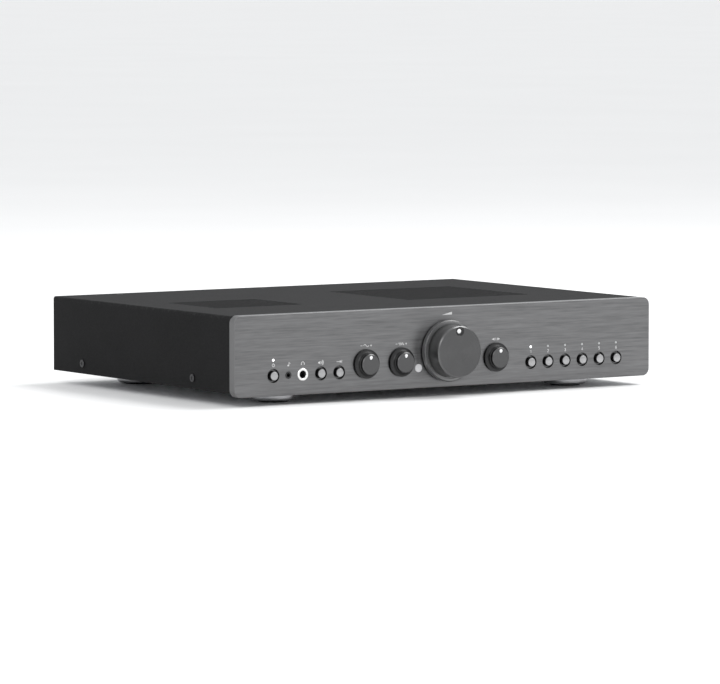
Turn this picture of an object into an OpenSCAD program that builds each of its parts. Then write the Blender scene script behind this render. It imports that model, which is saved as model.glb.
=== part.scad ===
// Integrated amplifier for a hi-fi system, with its controls, case, power supply and terminals.
// X runs to the right, Y to the back and Z up. The origin is on the floor, under the middle.

/* [Case] */
// Width of the fascia
face_w = 430; // [425:1:440]
// Height of the fascia
face_h = 69; // [69:1:74]
// Thickness of the fascia
face_t = 8; // [7:0.5:9]
// Radius of the fascia's corners
face_corner_r = 6.5; // [3:0.5:10]
// Clear height under the fascia
ground_gap = 8; // [7:0.5:10]
// Overall depth, from the volume knob to the speaker posts
overall_d = 347; // [345:1:370]
// How far the fascia stands out past the case at each side
case_inset = 1; // [0.5:0.5:2]
// How far the fascia hangs below the case
face_drop = 3.5; // [2:0.5:5]
// Thickness of the sheet steel
sheet_t = 1.2; // [1:0.1:1.5]

/* [Knobs] */
// Height of the volume knob's centre over the fascia's lower edge
volume_z = 31; // [30:0.5:36]
// How far the volume knob reaches in front of the fascia
knob_reach = 20; // [18:0.5:23]
// Radius of the volume knob's rear step
skirt_r = 26.4; // [25:0.1:28]
// Radius of the volume knob's front step
barrel_r = 22.7; // [22:0.1:24]
// Height of the tone knobs' centres over the fascia's lower edge
tone_z = 23.2; // [22:0.1:26]
// How far the tone knobs reach in front of the fascia
tone_reach = 8; // [7.5:0.5:10]
// Radius of the tone knobs at the fascia
tone_base_r = 12.5; // [11:0.1:13.5]
// Radius of the tone knobs' front faces
tone_face_r = 8.8; // [7:0.1:10]

/* [Buttons] */
// Height of the button row over the fascia's lower edge
button_z = 17.2; // [16:0.1:19]
// Radius of a button
button_r = 3.8; // [3.5:0.1:4.3]
// How far a button stands out of the fascia
button_proud = 2.2; // [1.3:0.1:2.4]
// Travel of a button
button_travel = 1.2; // [0.5:0.1:1.2]
// Pitch of the six source buttons
source_pitch = 18.2; // [17:0.1:18.5]
// Height of the lamps over the fascia's lower edge
lamp_z = 30.5; // [29:0.5:34]

/* [Terminals] */
// How far the speaker posts reach behind the rear panel
post_reach = 26; // [25:0.5:28]
// Distance between the two posts of one speaker
post_pitch = 19; // [19:0.5:22]
// Radius of a speaker post's cap
post_cap_r = 6.8; // [6:0.1:7.5]
// Pitch of the sockets in one row
socket_pitch = 20; // [18:0.5:21]
// Number of sockets in one row
socket_count = 6; // [4:1:6]

/* [Feet] */
// Radius of a foot
foot_r = 19; // [16:0.5:21]
// Distance of the feet's centres from each side of the fascia
foot_side = 63; // [40:1:70]
// Distance of the front feet's centres behind the fascia's front
foot_front = 39; // [30:1:60]

/* [Hidden] */
$fn = 64;
eps = 0.01;

// Main planes of the case
face_y = -overall_d / 2 + knob_reach;
shell_y = face_y + face_t;
panel_y = overall_d / 2 - post_reach;
face_top = ground_gap + face_h;
floor_z = ground_gap + face_drop;
roof_z = face_top - 0.4;
tray_top = floor_z + sheet_t;
roof_under = roof_z - sheet_t;
half_w = face_w / 2 - case_inset;
inner_half_w = half_w - sheet_t - 0.3;
plate_back = shell_y + sheet_t;
panel_front = panel_y - sheet_t;
board_t = 1.6;
control_board_y = plate_back + 8.3;

// Controls along the fascia, from its middle
standby_x = -176.3;
aux_x = -161.3;
headphone_x = -146.9;
speaker_x = -128.7;
direct_x = -110.3;
bass_x = -82.9;
treble_x = -47;
sensor_x = -29;
balance_x = 51.1;
source_first_x = 88;
small_button_xs = [standby_x, speaker_x, direct_x];
source_xs = [for (i = [0:5]) source_first_x + i * source_pitch];
button_xs = concat(small_button_xs, source_xs);
tone_xs = [bass_x, treble_x, balance_x];
lamp_xs = concat([standby_x], source_xs);
button_row_z = ground_gap + button_z;
tone_row_z = ground_gap + tone_z;
volume_row_z = ground_gap + volume_z;
lamp_row_z = ground_gap + lamp_z;

// Clearances and fits
loose = 0.3;
running = 0.05;
shaft_r = 3;
flat_depth = 1.5;
knob_gap = 0.8;
volume_bore_d = 11;
volume_shaft_back = 26;
tone_bore_d = 5;
tone_plain_l = 0.4;
tone_shaft_back = 12;
lamp_r = 1.1;
sensor_r = 3.65;
headphone_ring_r = 5.4;
ring_seat = 1.5;
headphone_barrel_r = 4.4;
headphone_bore_r = 3.2;
headphone_bore_l = 30;
aux_barrel_r = 2.9;
aux_bore_r = 1.8;
aux_bore_l = 15;
dish_r = 5.8;
dish_d = 2.5;
bushing_r = 4.4;

// Rear terminals
rear_z = 42;
post_xs = [54.5, 54.5 - post_pitch, 0, -post_pitch];
post_r = 3;
post_bore_r = 2.05;
post_bore_l = 18;
post_hole_r = 4;
collar_r = 7.6;
collar_l = 5;
washer_t = 1.5;
cap_start = collar_l + washer_t + 2 * loose;
cap_l = post_reach - cap_start;
socket_rows = [rear_z - 12, rear_z + 12];
socket_xs = [for (i = [0:socket_count - 1]) 190 - i * socket_pitch];
socket_r = 4.15;
socket_bore_r = 1.65;
socket_l = 9;
inlet_x = -160;
inlet_screw_x = 20;
rocker_x = -100;
rocker_w = 12.4;
rocker_h = 18.6;
rocker_tilt = 8;
rocker_pivot_y = panel_y - 2;
rocker_pin_r = 1.2;
lead_r = 1.5;
blade_end_y = panel_y - 28;
lead_start_y = blade_end_y - 0.2;

// Feet
foot_xs = [-face_w / 2 + foot_side, face_w / 2 - foot_side];
foot_ys = [face_y + foot_front, panel_y - 42];
pad_r = 14;
pad_recess = 2;
pad_proud = 1.5;
foot_screw_r = 2;
foot_seat_z = pad_proud + pad_recess + 3;

// Fasteners of the cover
side_screw_ys = [shell_y + 60, panel_y - 50];
side_screw_z = floor_z + 9;
top_screw_xs = [-150, 0, 150];
screw_r = 1.5;
screw_head_r = 3.4;
side_head_t = case_inset - 0.1;
top_head_r = 2.7;
board_screw_l = 4.5;

// Boards and power parts
main_x = [-40, 205];
main_y = [-70, 118];
main_z = tray_top + 8;
standoff_xs = [main_x[0] + 8, main_x[1] - 8];
standoff_ys = [main_y[0] + 8, main_y[1] - 8];
main_top = main_z + board_t;
toroid_x = -130;
toroid_y = -20;
toroid_r = 54;
toroid_hole_r = 16;
toroid_h = 44;
sink_x = [0, 170];
sink_y = [-20, 20];
sink_h = 42;
transistor_xs = [25, 65, 105, 145];
capacitor_xs = [10, 54];
capacitor_y = 60;
sink_vent = [(sink_x[0] + sink_x[1]) / 2, (sink_y[0] + sink_y[1]) / 2];
toroid_vent = [toroid_x, toroid_y];
vent_pitch = 8;
vent_w = 3.6;

// Places a child that is drawn upwards from the floor so that it points to the front
module facing_front(x, y, z) {
    translate([x, y, z]) rotate([90, 0, 0]) children();
}

// Places a child that is drawn upwards from the floor so that it points to the back
module facing_back(x, y, z) {
    translate([x, y, z]) rotate([-90, 0, 0]) children();
}

// A hole or rod along Y, from y to y + l
module along_y(x, y, z, r, l) {
    facing_back(x, y, z) cylinder(r = r, h = l);
}

// A rectangle with round corners, centred
module round_rect(w, h, r) {
    union() {
        square([w - 2 * r, h], center = true);
        square([w, h - 2 * r], center = true);
        for (sx = [-1, 1], sy = [-1, 1])
            translate([sx * (w / 2 - r), sy * (h / 2 - r)]) circle(r = r);
    }
}

// A slot with round ends, along X, cut down through a sheet
module slot(l, w, depth) {
    cube([l - w, w, depth], center = true);
    for (s = [-1, 1]) translate([s * (l - w) / 2, 0, 0]) cylinder(r = w / 2, h = depth, center = true);
}

// A rod with a flat along its last stretch, drawn upwards
module flatted_rod(r, plain_l, total_l) {
    difference() {
        cylinder(r = r, h = total_l);
        translate([-r - 1, r - flat_depth, plain_l]) cube([2 * r + 2, r, total_l]);
    }
}

// ---- Case ----

module vent_field(centre, count, l, z) {
    for (i = [0:count - 1]) translate([centre[0], centre[1] + (i - (count - 1) / 2) * vent_pitch, z])
        slot(l, vent_w, 4 * sheet_t);
}

module base_tray() {
    depth = panel_y - shell_y;
    lip_h = 18;
    color("darkgray") difference() {
        union() {
            translate([-inner_half_w, shell_y, floor_z]) cube([2 * inner_half_w, depth, sheet_t]);
            for (s = [-1, 1]) translate([s > 0 ? inner_half_w - sheet_t : -inner_half_w, plate_back, floor_z])
                cube([sheet_t, panel_front - plate_back, lip_h]);
        }
        vent_field(sink_vent, 12, 120, floor_z + sheet_t / 2);
        for (x = foot_xs, y = foot_ys) translate([x, y, floor_z - 1]) cylinder(r = foot_screw_r + 0.2, h = 4);
        for (y = side_screw_ys) translate([0, y, side_screw_z]) rotate([0, 90, 0])
            cylinder(r = screw_r + 0.2, h = 2 * face_w, center = true);
        for (x = standoff_xs, y = standoff_ys) translate([x, y, floor_z - 1])
            cylinder(r = screw_r + 0.2, h = 4);
        translate([toroid_x, toroid_y, floor_z - 1]) cylinder(r = 3.3, h = 4);
    }
}

module inner_front_plate() {
    color("darkgray") difference() {
        translate([-inner_half_w, shell_y, tray_top])
            cube([2 * inner_half_w, sheet_t, roof_under - tray_top]);
        for (x = button_xs) along_y(x, shell_y - 1, button_row_z, button_r + loose, 4);
        for (x = lamp_xs) along_y(x, shell_y - 1, lamp_row_z, lamp_r + 0.1, 4);
        for (x = tone_xs) along_y(x, shell_y - 1, tone_row_z, bushing_r + 0.1, 4);
        along_y(0, shell_y - 1, volume_row_z, bushing_r + 0.1, 4);
        along_y(headphone_x, shell_y - 1, button_row_z, headphone_barrel_r + 0.1, 4);
        along_y(aux_x, shell_y - 1, button_row_z, aux_barrel_r + 0.1, 4);
        along_y(sensor_x, shell_y - 1, button_row_z, sensor_r + 0.1, 4);
    }
}

module rear_panel() {
    color("dimgray") difference() {
        union() {
            translate([-inner_half_w, panel_front, tray_top])
                cube([2 * inner_half_w, sheet_t, roof_under - tray_top]);
            translate([-inner_half_w, panel_front - 12, roof_under - sheet_t])
                cube([2 * inner_half_w, 12, sheet_t]);
        }
        for (x = post_xs) along_y(x, panel_front - 1, rear_z, post_hole_r, 4);
        for (x = socket_xs, z = socket_rows) along_y(x, panel_front - 1, z, socket_r + 0.15, 4);
        translate([inlet_x, panel_y, rear_z]) cube([28.2, 4, 20.6], center = true);
        translate([rocker_x, panel_y, rear_z]) cube([rocker_w + 3.2, 4, rocker_h + 3.2], center = true);
        for (s = [-1, 1]) along_y(inlet_x + s * inlet_screw_x, panel_front - 1, rear_z, screw_r + 0.2, 4);
        for (x = top_screw_xs) translate([x, panel_front - 6, roof_under - 4])
            cylinder(r = screw_r + 0.2, h = 6);
    }
}

module top_cover() {
    depth = panel_y - shell_y;
    color("#242426") difference() {
        union() {
            translate([-half_w, shell_y, roof_under]) cube([2 * half_w, depth, sheet_t]);
            for (s = [-1, 1]) translate([s > 0 ? half_w - sheet_t : -half_w, shell_y, floor_z])
                cube([sheet_t, depth, roof_z - floor_z]);
        }
        vent_field(sink_vent, 16, 130, roof_z);
        vent_field(toroid_vent, 10, 90, roof_z);
        for (y = side_screw_ys) translate([0, y, side_screw_z]) rotate([0, 90, 0])
            cylinder(r = screw_r + 0.2, h = 2 * face_w, center = true);
        for (x = top_screw_xs) translate([x, panel_front - 6, roof_under - eps])
            cylinder(r1 = screw_r + 0.2, r2 = top_head_r + 0.2, h = sheet_t + 2 * eps);
    }
}

module fascia() {
    middle_z = ground_gap + face_h / 2;
    edge = 0.6;
    through = face_t + 2;
    color("silver") difference() {
        union() {
            facing_front(0, shell_y, middle_z) linear_extrude(face_t - edge)
                round_rect(face_w, face_h, face_corner_r);
            facing_front(0, shell_y, middle_z) linear_extrude(face_t)
                round_rect(face_w - 2 * edge, face_h - 2 * edge, face_corner_r - edge);
        }
        for (x = button_xs) along_y(x, face_y - 1, button_row_z, button_r + loose, through);
        for (x = button_xs) along_y(x, face_y - 1, button_row_z, dish_r, dish_d + 1);
        for (x = lamp_xs) along_y(x, face_y - 1, lamp_row_z, lamp_r + 0.1, through);
        for (x = tone_xs) along_y(x, face_y - 1, tone_row_z, bushing_r + 0.1, through);
        along_y(0, face_y - 1, volume_row_z, bushing_r + 0.1, through);
        along_y(headphone_x, face_y - 1, button_row_z, headphone_barrel_r + 0.1, through);
        along_y(headphone_x, face_y - 1, button_row_z, headphone_ring_r + 0.1, 1 + ring_seat);
        along_y(aux_x, face_y - 1, button_row_z, aux_barrel_r + 0.1, through);
        along_y(sensor_x, face_y - 1, button_row_z, sensor_r + 0.1, through);
    }
}

module screw(head_r, head_h, shank_r, shank_l) {
    socket_w = head_r * 0.9;
    difference() {
        union() {
            translate([0, 0, -head_h]) cylinder(r = head_r, h = head_h);
            cylinder(r = shank_r, h = shank_l);
        }
        for (a = [0, 90]) rotate([0, 0, a]) translate([0, 0, -head_h])
            cube([socket_w, head_r * 0.25, head_h], center = true);
    }
}

// A countersunk screw, drawn downwards from the top of its head
module sunk_screw(head_r, head_l, shank_r, shank_l) {
    difference() {
        union() {
            translate([0, 0, -head_l]) cylinder(r1 = shank_r, r2 = head_r, h = head_l);
            translate([0, 0, -shank_l]) cylinder(r = shank_r, h = shank_l - head_l + eps);
        }
        for (a = [0, 90]) rotate([0, 0, a]) cube([head_r * 1.1, head_r * 0.25, head_l], center = true);
    }
}

module cover_screws() {
    color("#333333") {
        for (y = side_screw_ys, s = [-1, 1]) translate([s * half_w, y, side_screw_z]) rotate([0, -90 * s, 0])
            screw(screw_head_r, side_head_t, screw_r, 6);
        for (x = top_screw_xs) translate([x, panel_front - 6, roof_z - 0.05])
            sunk_screw(top_head_r, sheet_t - 0.05, screw_r, 6);
    }
}

module chassis_screws() {
    color("silver") {
        for (x = foot_xs, y = foot_ys) translate([x, y, foot_seat_z]) screw(3.6, 2.2, foot_screw_r, 10);
        for (x = standoff_xs, y = standoff_ys) {
            translate([x, y, floor_z]) screw(2.8, 1.4, screw_r, board_screw_l);
            translate([x, y, main_top]) rotate([180, 0, 0]) screw(2.8, 1.4, screw_r, board_screw_l);
        }
        for (s = [-1, 1]) translate([inlet_x + s * inlet_screw_x, panel_y + 2.5, rear_z]) rotate([90, 0, 0])
            screw(2.8, 1.2, screw_r, 7);
    }
}

module feet() {
    edge = 1.2;
    top = floor_z - pad_proud;
    color("lightgray") for (x = foot_xs, y = foot_ys) translate([x, y, pad_proud]) rotate_extrude()
        polygon([
            [foot_screw_r + 0.2, pad_recess + 3], [4, pad_recess + 3], [4, pad_recess],
            [pad_r + 0.1, pad_recess], [pad_r + 0.1, 0], [foot_r - edge, 0], [foot_r, edge],
            [foot_r, top - 2.4],
            [foot_r - 0.6, top - 1.8], [foot_r - 0.6, top], [foot_screw_r + 0.2, top]
        ]);
}

module foot_pads() {
    color("#222222") for (x = foot_xs, y = foot_ys) translate([x, y, 0]) rotate_extrude()
        polygon([
            [4, 0.4], [4.4, 0], [pad_r - 0.8, 0], [pad_r, 0.8],
            [pad_r, pad_proud + pad_recess], [4, pad_proud + pad_recess]
        ]);
}

// ---- Front fittings ----

module sensor_lens() {
    color("gainsboro") along_y(sensor_x, face_y, button_row_z, sensor_r, face_t + sheet_t + 2);
}

module lamp_lenses() {
    color("white") for (x = lamp_xs)
        along_y(x, face_y - 0.1, lamp_row_z, lamp_r, control_board_y - face_y - 0.4);
}

module headphone_jack() {
    barrel_y = face_y + ring_seat;
    bore_l = headphone_bore_l - ring_seat;
    body = [16, headphone_bore_l - 6, 20];
    color("#1c1c1e") difference() {
        union() {
            along_y(headphone_x, barrel_y, button_row_z, headphone_barrel_r, bore_l + 4);
            translate([headphone_x - body[0] / 2, plate_back, button_row_z - 9]) cube(body);
        }
        along_y(headphone_x, barrel_y - 1, button_row_z, headphone_bore_r, bore_l + 1);
    }
}

module headphone_ring() {
    inner_r = headphone_bore_r;
    ring_t = ring_seat + 0.6;
    edge = 0.5;
    color("silver") facing_front(headphone_x, face_y + ring_seat, button_row_z) rotate_extrude() polygon([
        [inner_r, 0], [headphone_ring_r, 0], [headphone_ring_r, ring_t - edge],
        [headphone_ring_r - edge, ring_t], [inner_r + edge, ring_t], [inner_r, ring_t - edge]
    ]);
}

module aux_jack() {
    body = [11, aux_bore_l - 4, 12];
    color("#1c1c1e") difference() {
        union() {
            along_y(aux_x, face_y, button_row_z, aux_barrel_r, aux_bore_l + 3);
            translate([aux_x - body[0] / 2, plate_back, button_row_z - body[2] / 2]) cube(body);
        }
        along_y(aux_x, face_y - 1, button_row_z, aux_bore_r, aux_bore_l + 1);
    }
}

// ---- Controls behind the fascia ----

module volume_control() {
    can = 24;
    can_l = 22;
    gear_l = 10;
    motor_r = 10;
    motor_l = 30;
    color("silver") difference() {
        union() {
            along_y(0, shell_y - 5, volume_row_z, bushing_r, 6);
            translate([-can / 2, plate_back, volume_row_z - can / 2]) cube([can, can_l, can]);
            translate([-can / 2 - 2, plate_back + can_l, volume_row_z - can / 2 - 2])
                cube([can + 4, gear_l, can + 4]);
            along_y(0, plate_back + can_l + gear_l - 1, volume_row_z, motor_r, motor_l);
        }
        along_y(0, shell_y - 6, volume_row_z, shaft_r + running, 28);
    }
}

module tone_controls() {
    can = 16;
    color("silver") for (x = tone_xs) difference() {
        union() {
            along_y(x, shell_y - 5, tone_row_z, bushing_r, 6);
            translate([x - can / 2, plate_back, tone_row_z - can / 2]) cube([can, 8, can]);
        }
        along_y(x, shell_y - 6, tone_row_z, shaft_r + running, 12);
    }
}

module control_board() {
    bottom = tray_top + 3;
    height = 38;
    color("darkgreen") difference() {
        translate([-195, control_board_y, bottom]) cube([395, board_t, height]);
        translate([headphone_x - 9, control_board_y - 1, button_row_z - 10]) cube([18, 4, 22]);
        translate([aux_x - 6.5, control_board_y - 1, button_row_z - 7]) cube([13, 4, 14]);
        translate([-13, control_board_y - 1, bottom - 1]) cube([26, 4, height + 2]);
    }
}

module key_switches() {
    color("#222222") for (x = button_xs) {
        translate([x - 3, control_board_y - 3.6, button_row_z - 3]) cube([6, 3.6, 6]);
        along_y(x, control_board_y - 4.2, button_row_z, 1.7, 1);
    }
}

// ---- Electronics ----

module main_board() {
    color("darkgreen") difference() {
        translate([main_x[0], main_y[0], main_z])
            cube([main_x[1] - main_x[0], main_y[1] - main_y[0], board_t]);
        for (x = standoff_xs, y = standoff_ys) translate([x, y, main_z - 1])
            cylinder(r = screw_r + 0.2, h = 4);
    }
}

module board_standoffs() {
    color("gold") for (x = standoff_xs, y = standoff_ys) translate([x, y, tray_top]) difference() {
        cylinder(r = 3.5, h = main_z - tray_top, $fn = 6);
        translate([0, 0, -1]) cylinder(r = screw_r + 0.05, h = main_z - tray_top + 2);
    }
}

module transformer() {
    round_r = 10;
    color("peru") translate([toroid_x, toroid_y, tray_top + 1.5]) rotate_extrude() union() {
        translate([toroid_hole_r, round_r]) square([toroid_r - toroid_hole_r, toroid_h - 2 * round_r]);
        translate([toroid_hole_r + round_r, 0]) square([toroid_r - toroid_hole_r - 2 * round_r, toroid_h]);
        for (r = [toroid_hole_r + round_r, toroid_r - round_r], z = [round_r, toroid_h - round_r])
            translate([r, z]) circle(r = round_r);
    }
}

module transformer_clamp() {
    top = tray_top + 1.5 + toroid_h;
    color("gray") translate([toroid_x, toroid_y, 0]) union() {
        translate([0, 0, tray_top]) cylinder(r = 44, h = 1.5);
        translate([0, 0, top]) cylinder(r = 36, h = 1.5);
        translate([0, 0, floor_z - 1.5]) cylinder(r = 3, h = top - floor_z + 8);
        translate([0, 0, top + 1.4]) cylinder(r = 5.5, h = 4.1, $fn = 6);
        translate([0, 0, floor_z - 2]) cylinder(r = 6, h = 2);
    }
}

module heatsink() {
    fin_t = 1.6;
    fin_count = 22;
    spine_t = 4;
    fin_pitch = (sink_x[1] - sink_x[0] - fin_t) / (fin_count - 1);
    color("#303030") union() {
        translate([sink_x[0], sink_y[1] - spine_t, main_top]) cube([sink_x[1] - sink_x[0], spine_t, sink_h]);
        for (i = [0:fin_count - 1]) translate([sink_x[0] + i * fin_pitch, sink_y[0], main_top])
            cube([fin_t, sink_y[1] - sink_y[0] - spine_t + eps, sink_h]);
    }
}

module output_transistors() {
    color("#1a1a1a") for (x = transistor_xs) {
        translate([x - 8, sink_y[1], main_top + 16]) cube([16, 5, 20]);
        for (s = [-1, 0, 1]) translate([x + s * 5.45 - 0.5, sink_y[1] + 2, main_top])
            cube([1, 0.8, 16 + eps]);
    }
}

module smoothing_capacitors() {
    radius = 17.5;
    height = 45;
    color("#203050") for (x = capacitor_xs) translate([x, capacitor_y, main_top]) rotate_extrude() polygon([
        [0, 0], [radius - 1, 0], [radius, 1], [radius, 3], [radius - 0.8, 4], [radius, 5],
        [radius, height - 1], [radius - 1, height], [radius - 3, height], [radius - 3, height - 0.6],
        [0, height - 0.6]
    ]);
}

module speaker_relay() {
    color("#e8e4d8") translate([86, capacitor_y - 6, main_top]) cube([22, 28, 18]);
}

module input_board() {
    color("darkgreen") translate([78, panel_front - 14, tray_top + 10.5]) cube([126, board_t, 44]);
}

module phono_sockets() {
    neck_r = socket_r - 0.25;
    color("gold") for (x = socket_xs, z = socket_rows) difference() {
        union() {
            along_y(x, panel_front - 12.4, z, neck_r, 12.4 + sheet_t);
            along_y(x, panel_y, z, socket_r, socket_l);
        }
        along_y(x, panel_y - 2, z, socket_bore_r, socket_l + 3);
    }
}

module mains_inlet() {
    flange_t = 2.5;
    cavity_d = 17;
    blade_l = 13;
    color("#181818") union() {
        difference() {
            union() {
                facing_back(inlet_x, panel_y, rear_z) linear_extrude(flange_t) round_rect(48, 24, 3);
                translate([inlet_x - 13.8, panel_y - 20, rear_z - 10]) cube([27.6, 20, 20]);
            }
            translate([inlet_x - 12.2, panel_y + flange_t - cavity_d, rear_z - 8.4])
                cube([24.4, cavity_d + 1, 16.8]);
            for (s = [-1, 1]) along_y(inlet_x + s * inlet_screw_x, panel_y - 1, rear_z, screw_r + 0.2, 5);
        }
        for (p = [[-7, -2], [7, -2], [0, 2]])
            translate([inlet_x + p[0] - 1, panel_y + flange_t - cavity_d - eps, rear_z + p[1] - 1.9])
                cube([2, blade_l - 2, 3.8]);
        for (s = [-1, 0, 1]) translate([inlet_x + s * 7 - 2.4, blade_end_y, rear_z - 0.4])
            cube([4.8, 8.1, 0.8]);
    }
}

module rocker_frame() {
    w = rocker_w + 3;
    h = rocker_h + 3;
    color("#141414") difference() {
        union() {
            facing_back(rocker_x, panel_y, rear_z) linear_extrude(1.8) round_rect(w + 4, h + 4, 1.5);
            translate([rocker_x - w / 2, panel_y - 18, rear_z - h / 2]) cube([w, 18, h]);
            for (s = [-1, 1]) translate([rocker_x + s * 3 - 0.4, blade_end_y, rear_z - 2.4])
                cube([0.8, 11, 4.8]);
        }
        translate([rocker_x - rocker_w / 2 - loose, panel_y - 14, rear_z - rocker_h / 2 - loose])
            cube([rocker_w + 2 * loose, 20, rocker_h + 2 * loose]);
        translate([rocker_x, rocker_pivot_y, rear_z]) rotate([0, 90, 0])
            cylinder(r = rocker_pin_r + running, h = 2 * w, center = true);
    }
}

// The rocker: two faces that meet in a shallow valley, on a pin, tipped to its lower side
module power_rocker() {
    face_angle = rocker_tilt;
    half_h = rocker_h / 2 - 0.9;
    color("#262626") translate([rocker_x, rocker_pivot_y, rear_z]) rotate([-rocker_tilt, 0, 0]) union() {
        difference() {
            translate([-rocker_w / 2, -4, -half_h]) cube([rocker_w, 10.4, 2 * half_h]);
            for (m = [0, 1]) mirror([0, 0, m]) translate([0, 4.2, 0]) rotate([-face_angle, 0, 0])
                translate([-rocker_w, 0, -1]) cube([2 * rocker_w, 10, rocker_h]);
        }
        rotate([0, 90, 0]) cylinder(r = rocker_pin_r, h = rocker_w + 2.2, center = true);
    }
}

module post_barrels() {
    color("gold") for (x = post_xs) difference() {
        union() {
            along_y(x, panel_y - 14, rear_z, post_r, 14 + post_reach - 1);
            along_y(x, panel_y - 6, rear_z, 5, 2.4);
        }
        along_y(x, panel_y + post_reach - 1 - post_bore_l, rear_z, post_bore_r, post_bore_l + 1);
        translate([x, panel_y + collar_l + loose / 2, rear_z]) cylinder(r = 0.9, h = 20, center = true);
    }
}

module post_collars() {
    color("#202020") for (x = post_xs) facing_back(x, panel_front - 2, rear_z) rotate_extrude() polygon([
        [post_r + 0.02, 0], [post_hole_r - 0.1, 0], [post_hole_r - 0.1, 2 + sheet_t], [collar_r, 2 + sheet_t],
        [collar_r, 2 + sheet_t + collar_l - 1], [collar_r - 1, 2 + sheet_t + collar_l],
        [post_r + 0.02, 2 + sheet_t + collar_l]
    ]);
}

// ---- Wiring inside the case ----

// A flat band in an S shape, from the control board down to the main board
function band_point(t, side) =
    let (run = main_y[0] + 6 - control_board_y - board_t)
    let (drop = 14)
    [control_board_y + board_t + t * run, main_top + drop * (1 + cos(180 * t)) / 2 + side * 0.5];

module ribbon_cable() {
    steps = 24;
    upper = [for (i = [0:steps]) band_point(i / steps, 1)];
    lower = [for (i = [0:steps]) band_point((steps - i) / steps, 0)];
    color("lightgray") translate([30, 0, 0]) rotate([90, 0, 90]) linear_extrude(32)
        polygon(concat(upper, lower));
}

// One lead across the back of the case: out of a terminal, round a bend, across and back round
module lead(from_x, to_x, stub) {
    bend = 8;
    y = lead_start_y - stub;
    for (x = [from_x, to_x]) along_y(x, y, rear_z, lead_r, stub);
    translate([from_x + bend, y, rear_z]) rotate([0, 0, 180]) rotate_extrude(angle = 90)
        translate([bend, 0]) circle(r = lead_r);
    translate([to_x - bend, y, rear_z]) rotate([0, 0, 270]) rotate_extrude(angle = 90)
        translate([bend, 0]) circle(r = lead_r);
    translate([from_x + bend, y - bend, rear_z]) rotate([0, 90, 0])
        cylinder(r = lead_r, h = to_x - from_x - 2 * bend);
}

module power_leads() {
    color("sienna") {
        lead(inlet_x - 7, rocker_x + 3, 7);
        lead(inlet_x + 7, rocker_x - 3, 1);
    }
}

// ---- Knobs and shafts ----

// The volume knob's rear step, and the groove between its two steps
step_top = 6;
groove_w = 1.1;
groove_d = 1;

// Outline of the volume knob: distance from its axis against height over the fascia
volume_outline = [
    [0, knob_gap], [skirt_r - 0.4, knob_gap], [skirt_r, knob_gap + 0.4], [skirt_r, step_top - 0.6],
    [skirt_r - 0.6, step_top], [barrel_r + groove_w, step_top], [barrel_r + groove_w, step_top - groove_d],
    [barrel_r, step_top - groove_d], [barrel_r - 0.5, knob_reach - 1], [barrel_r - 1.4, knob_reach],
    [0, knob_reach]
];

module volume_knob() {
    dimple_r = 8.1;
    dimple_at = 17.7;
    dimple_d = 1.2;
    recess_d = 0.8;
    color("silver") facing_front(0, face_y, volume_row_z) difference() {
        rotate_extrude() polygon(volume_outline);
        translate([0, dimple_at, knob_reach + dimple_r - dimple_d]) sphere(r = dimple_r);
        translate([0, 0, knob_gap - eps]) flatted_rod(shaft_r, recess_d, volume_bore_d);
        cylinder(r = bushing_r + 1, h = knob_gap + recess_d);
    }
}

module volume_shaft() {
    back = volume_shaft_back;
    color("lightgray") facing_front(0, face_y + back, volume_row_z)
        flatted_rod(shaft_r, back + 2 * knob_gap, back + knob_gap + volume_bore_d - eps);
}

// A flared knob: a cove from the wide base to the small face
module tone_knob(x) {
    rim_top = 1.8;
    cove = 2.6;
    dot_r = 2.2;
    dot_at = 5.6;
    dot_d = 0.7;
    color("gray") facing_front(x, face_y, tone_row_z) difference() {
        rotate_extrude() polygon([
            [0, knob_gap], [tone_base_r - 0.3, knob_gap], [tone_base_r, knob_gap + 0.3],
            [tone_base_r, rim_top],
            for (i = [0:8]) let (a = i * 90 / 8)
                [tone_base_r - (tone_base_r - tone_face_r - 0.6) * sin(a), rim_top + cove * (1 - cos(a))],
            [tone_face_r, tone_reach - 0.7], [tone_face_r - 0.7, tone_reach], [0, tone_reach]
        ]);
        translate([0, dot_at, tone_reach + dot_r - dot_d]) sphere(r = dot_r);
        translate([0, 0, knob_gap - eps]) flatted_rod(shaft_r, tone_plain_l + eps, tone_bore_d);
    }
}

module tone_shaft(x) {
    back = tone_shaft_back;
    color("lightgray") facing_front(x, face_y + back, tone_row_z)
        flatted_rod(shaft_r, back + knob_gap + tone_plain_l, back + knob_gap + tone_bore_d - 2 * eps);
}

module bass_knob() tone_knob(bass_x);
module treble_knob() tone_knob(treble_x);
module balance_knob() tone_knob(balance_x);
module bass_shaft() tone_shaft(bass_x);
module treble_shaft() tone_shaft(treble_x);
module balance_shaft() tone_shaft(balance_x);

// ---- Buttons ----

// A button: a chamfered cap, a collar that keeps it in, and a short stem to its key switch
module push_button(x) {
    collar = button_proud + face_t + sheet_t + loose;
    stem_end = button_proud + control_board_y - 4.2 - face_y - button_travel - loose;
    chamfer = 0.6;
    color("silver") facing_back(x, face_y - button_proud, button_row_z) rotate_extrude() polygon([
        [0, 0], [button_r - chamfer, 0], [button_r, chamfer], [button_r, collar], [button_r + 1.1, collar],
        [button_r + 1.1, collar + 0.8], [1.6, collar + 0.8], [1.6, stem_end], [0, stem_end]
    ]);
}

module standby_button() push_button(standby_x);
module speaker_button() push_button(speaker_x);
module direct_button() push_button(direct_x);
module source_button(i) push_button(source_xs[i - 1]);

// ---- Speaker posts ----

module clamp_washer(i) {
    color("gold") facing_back(post_xs[i - 1], panel_y + collar_l + loose, rear_z) difference() {
        cylinder(r = post_cap_r - 0.4, h = washer_t);
        translate([0, 0, -1]) cylinder(r = post_r + running, h = washer_t + 2);
    }
}

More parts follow.
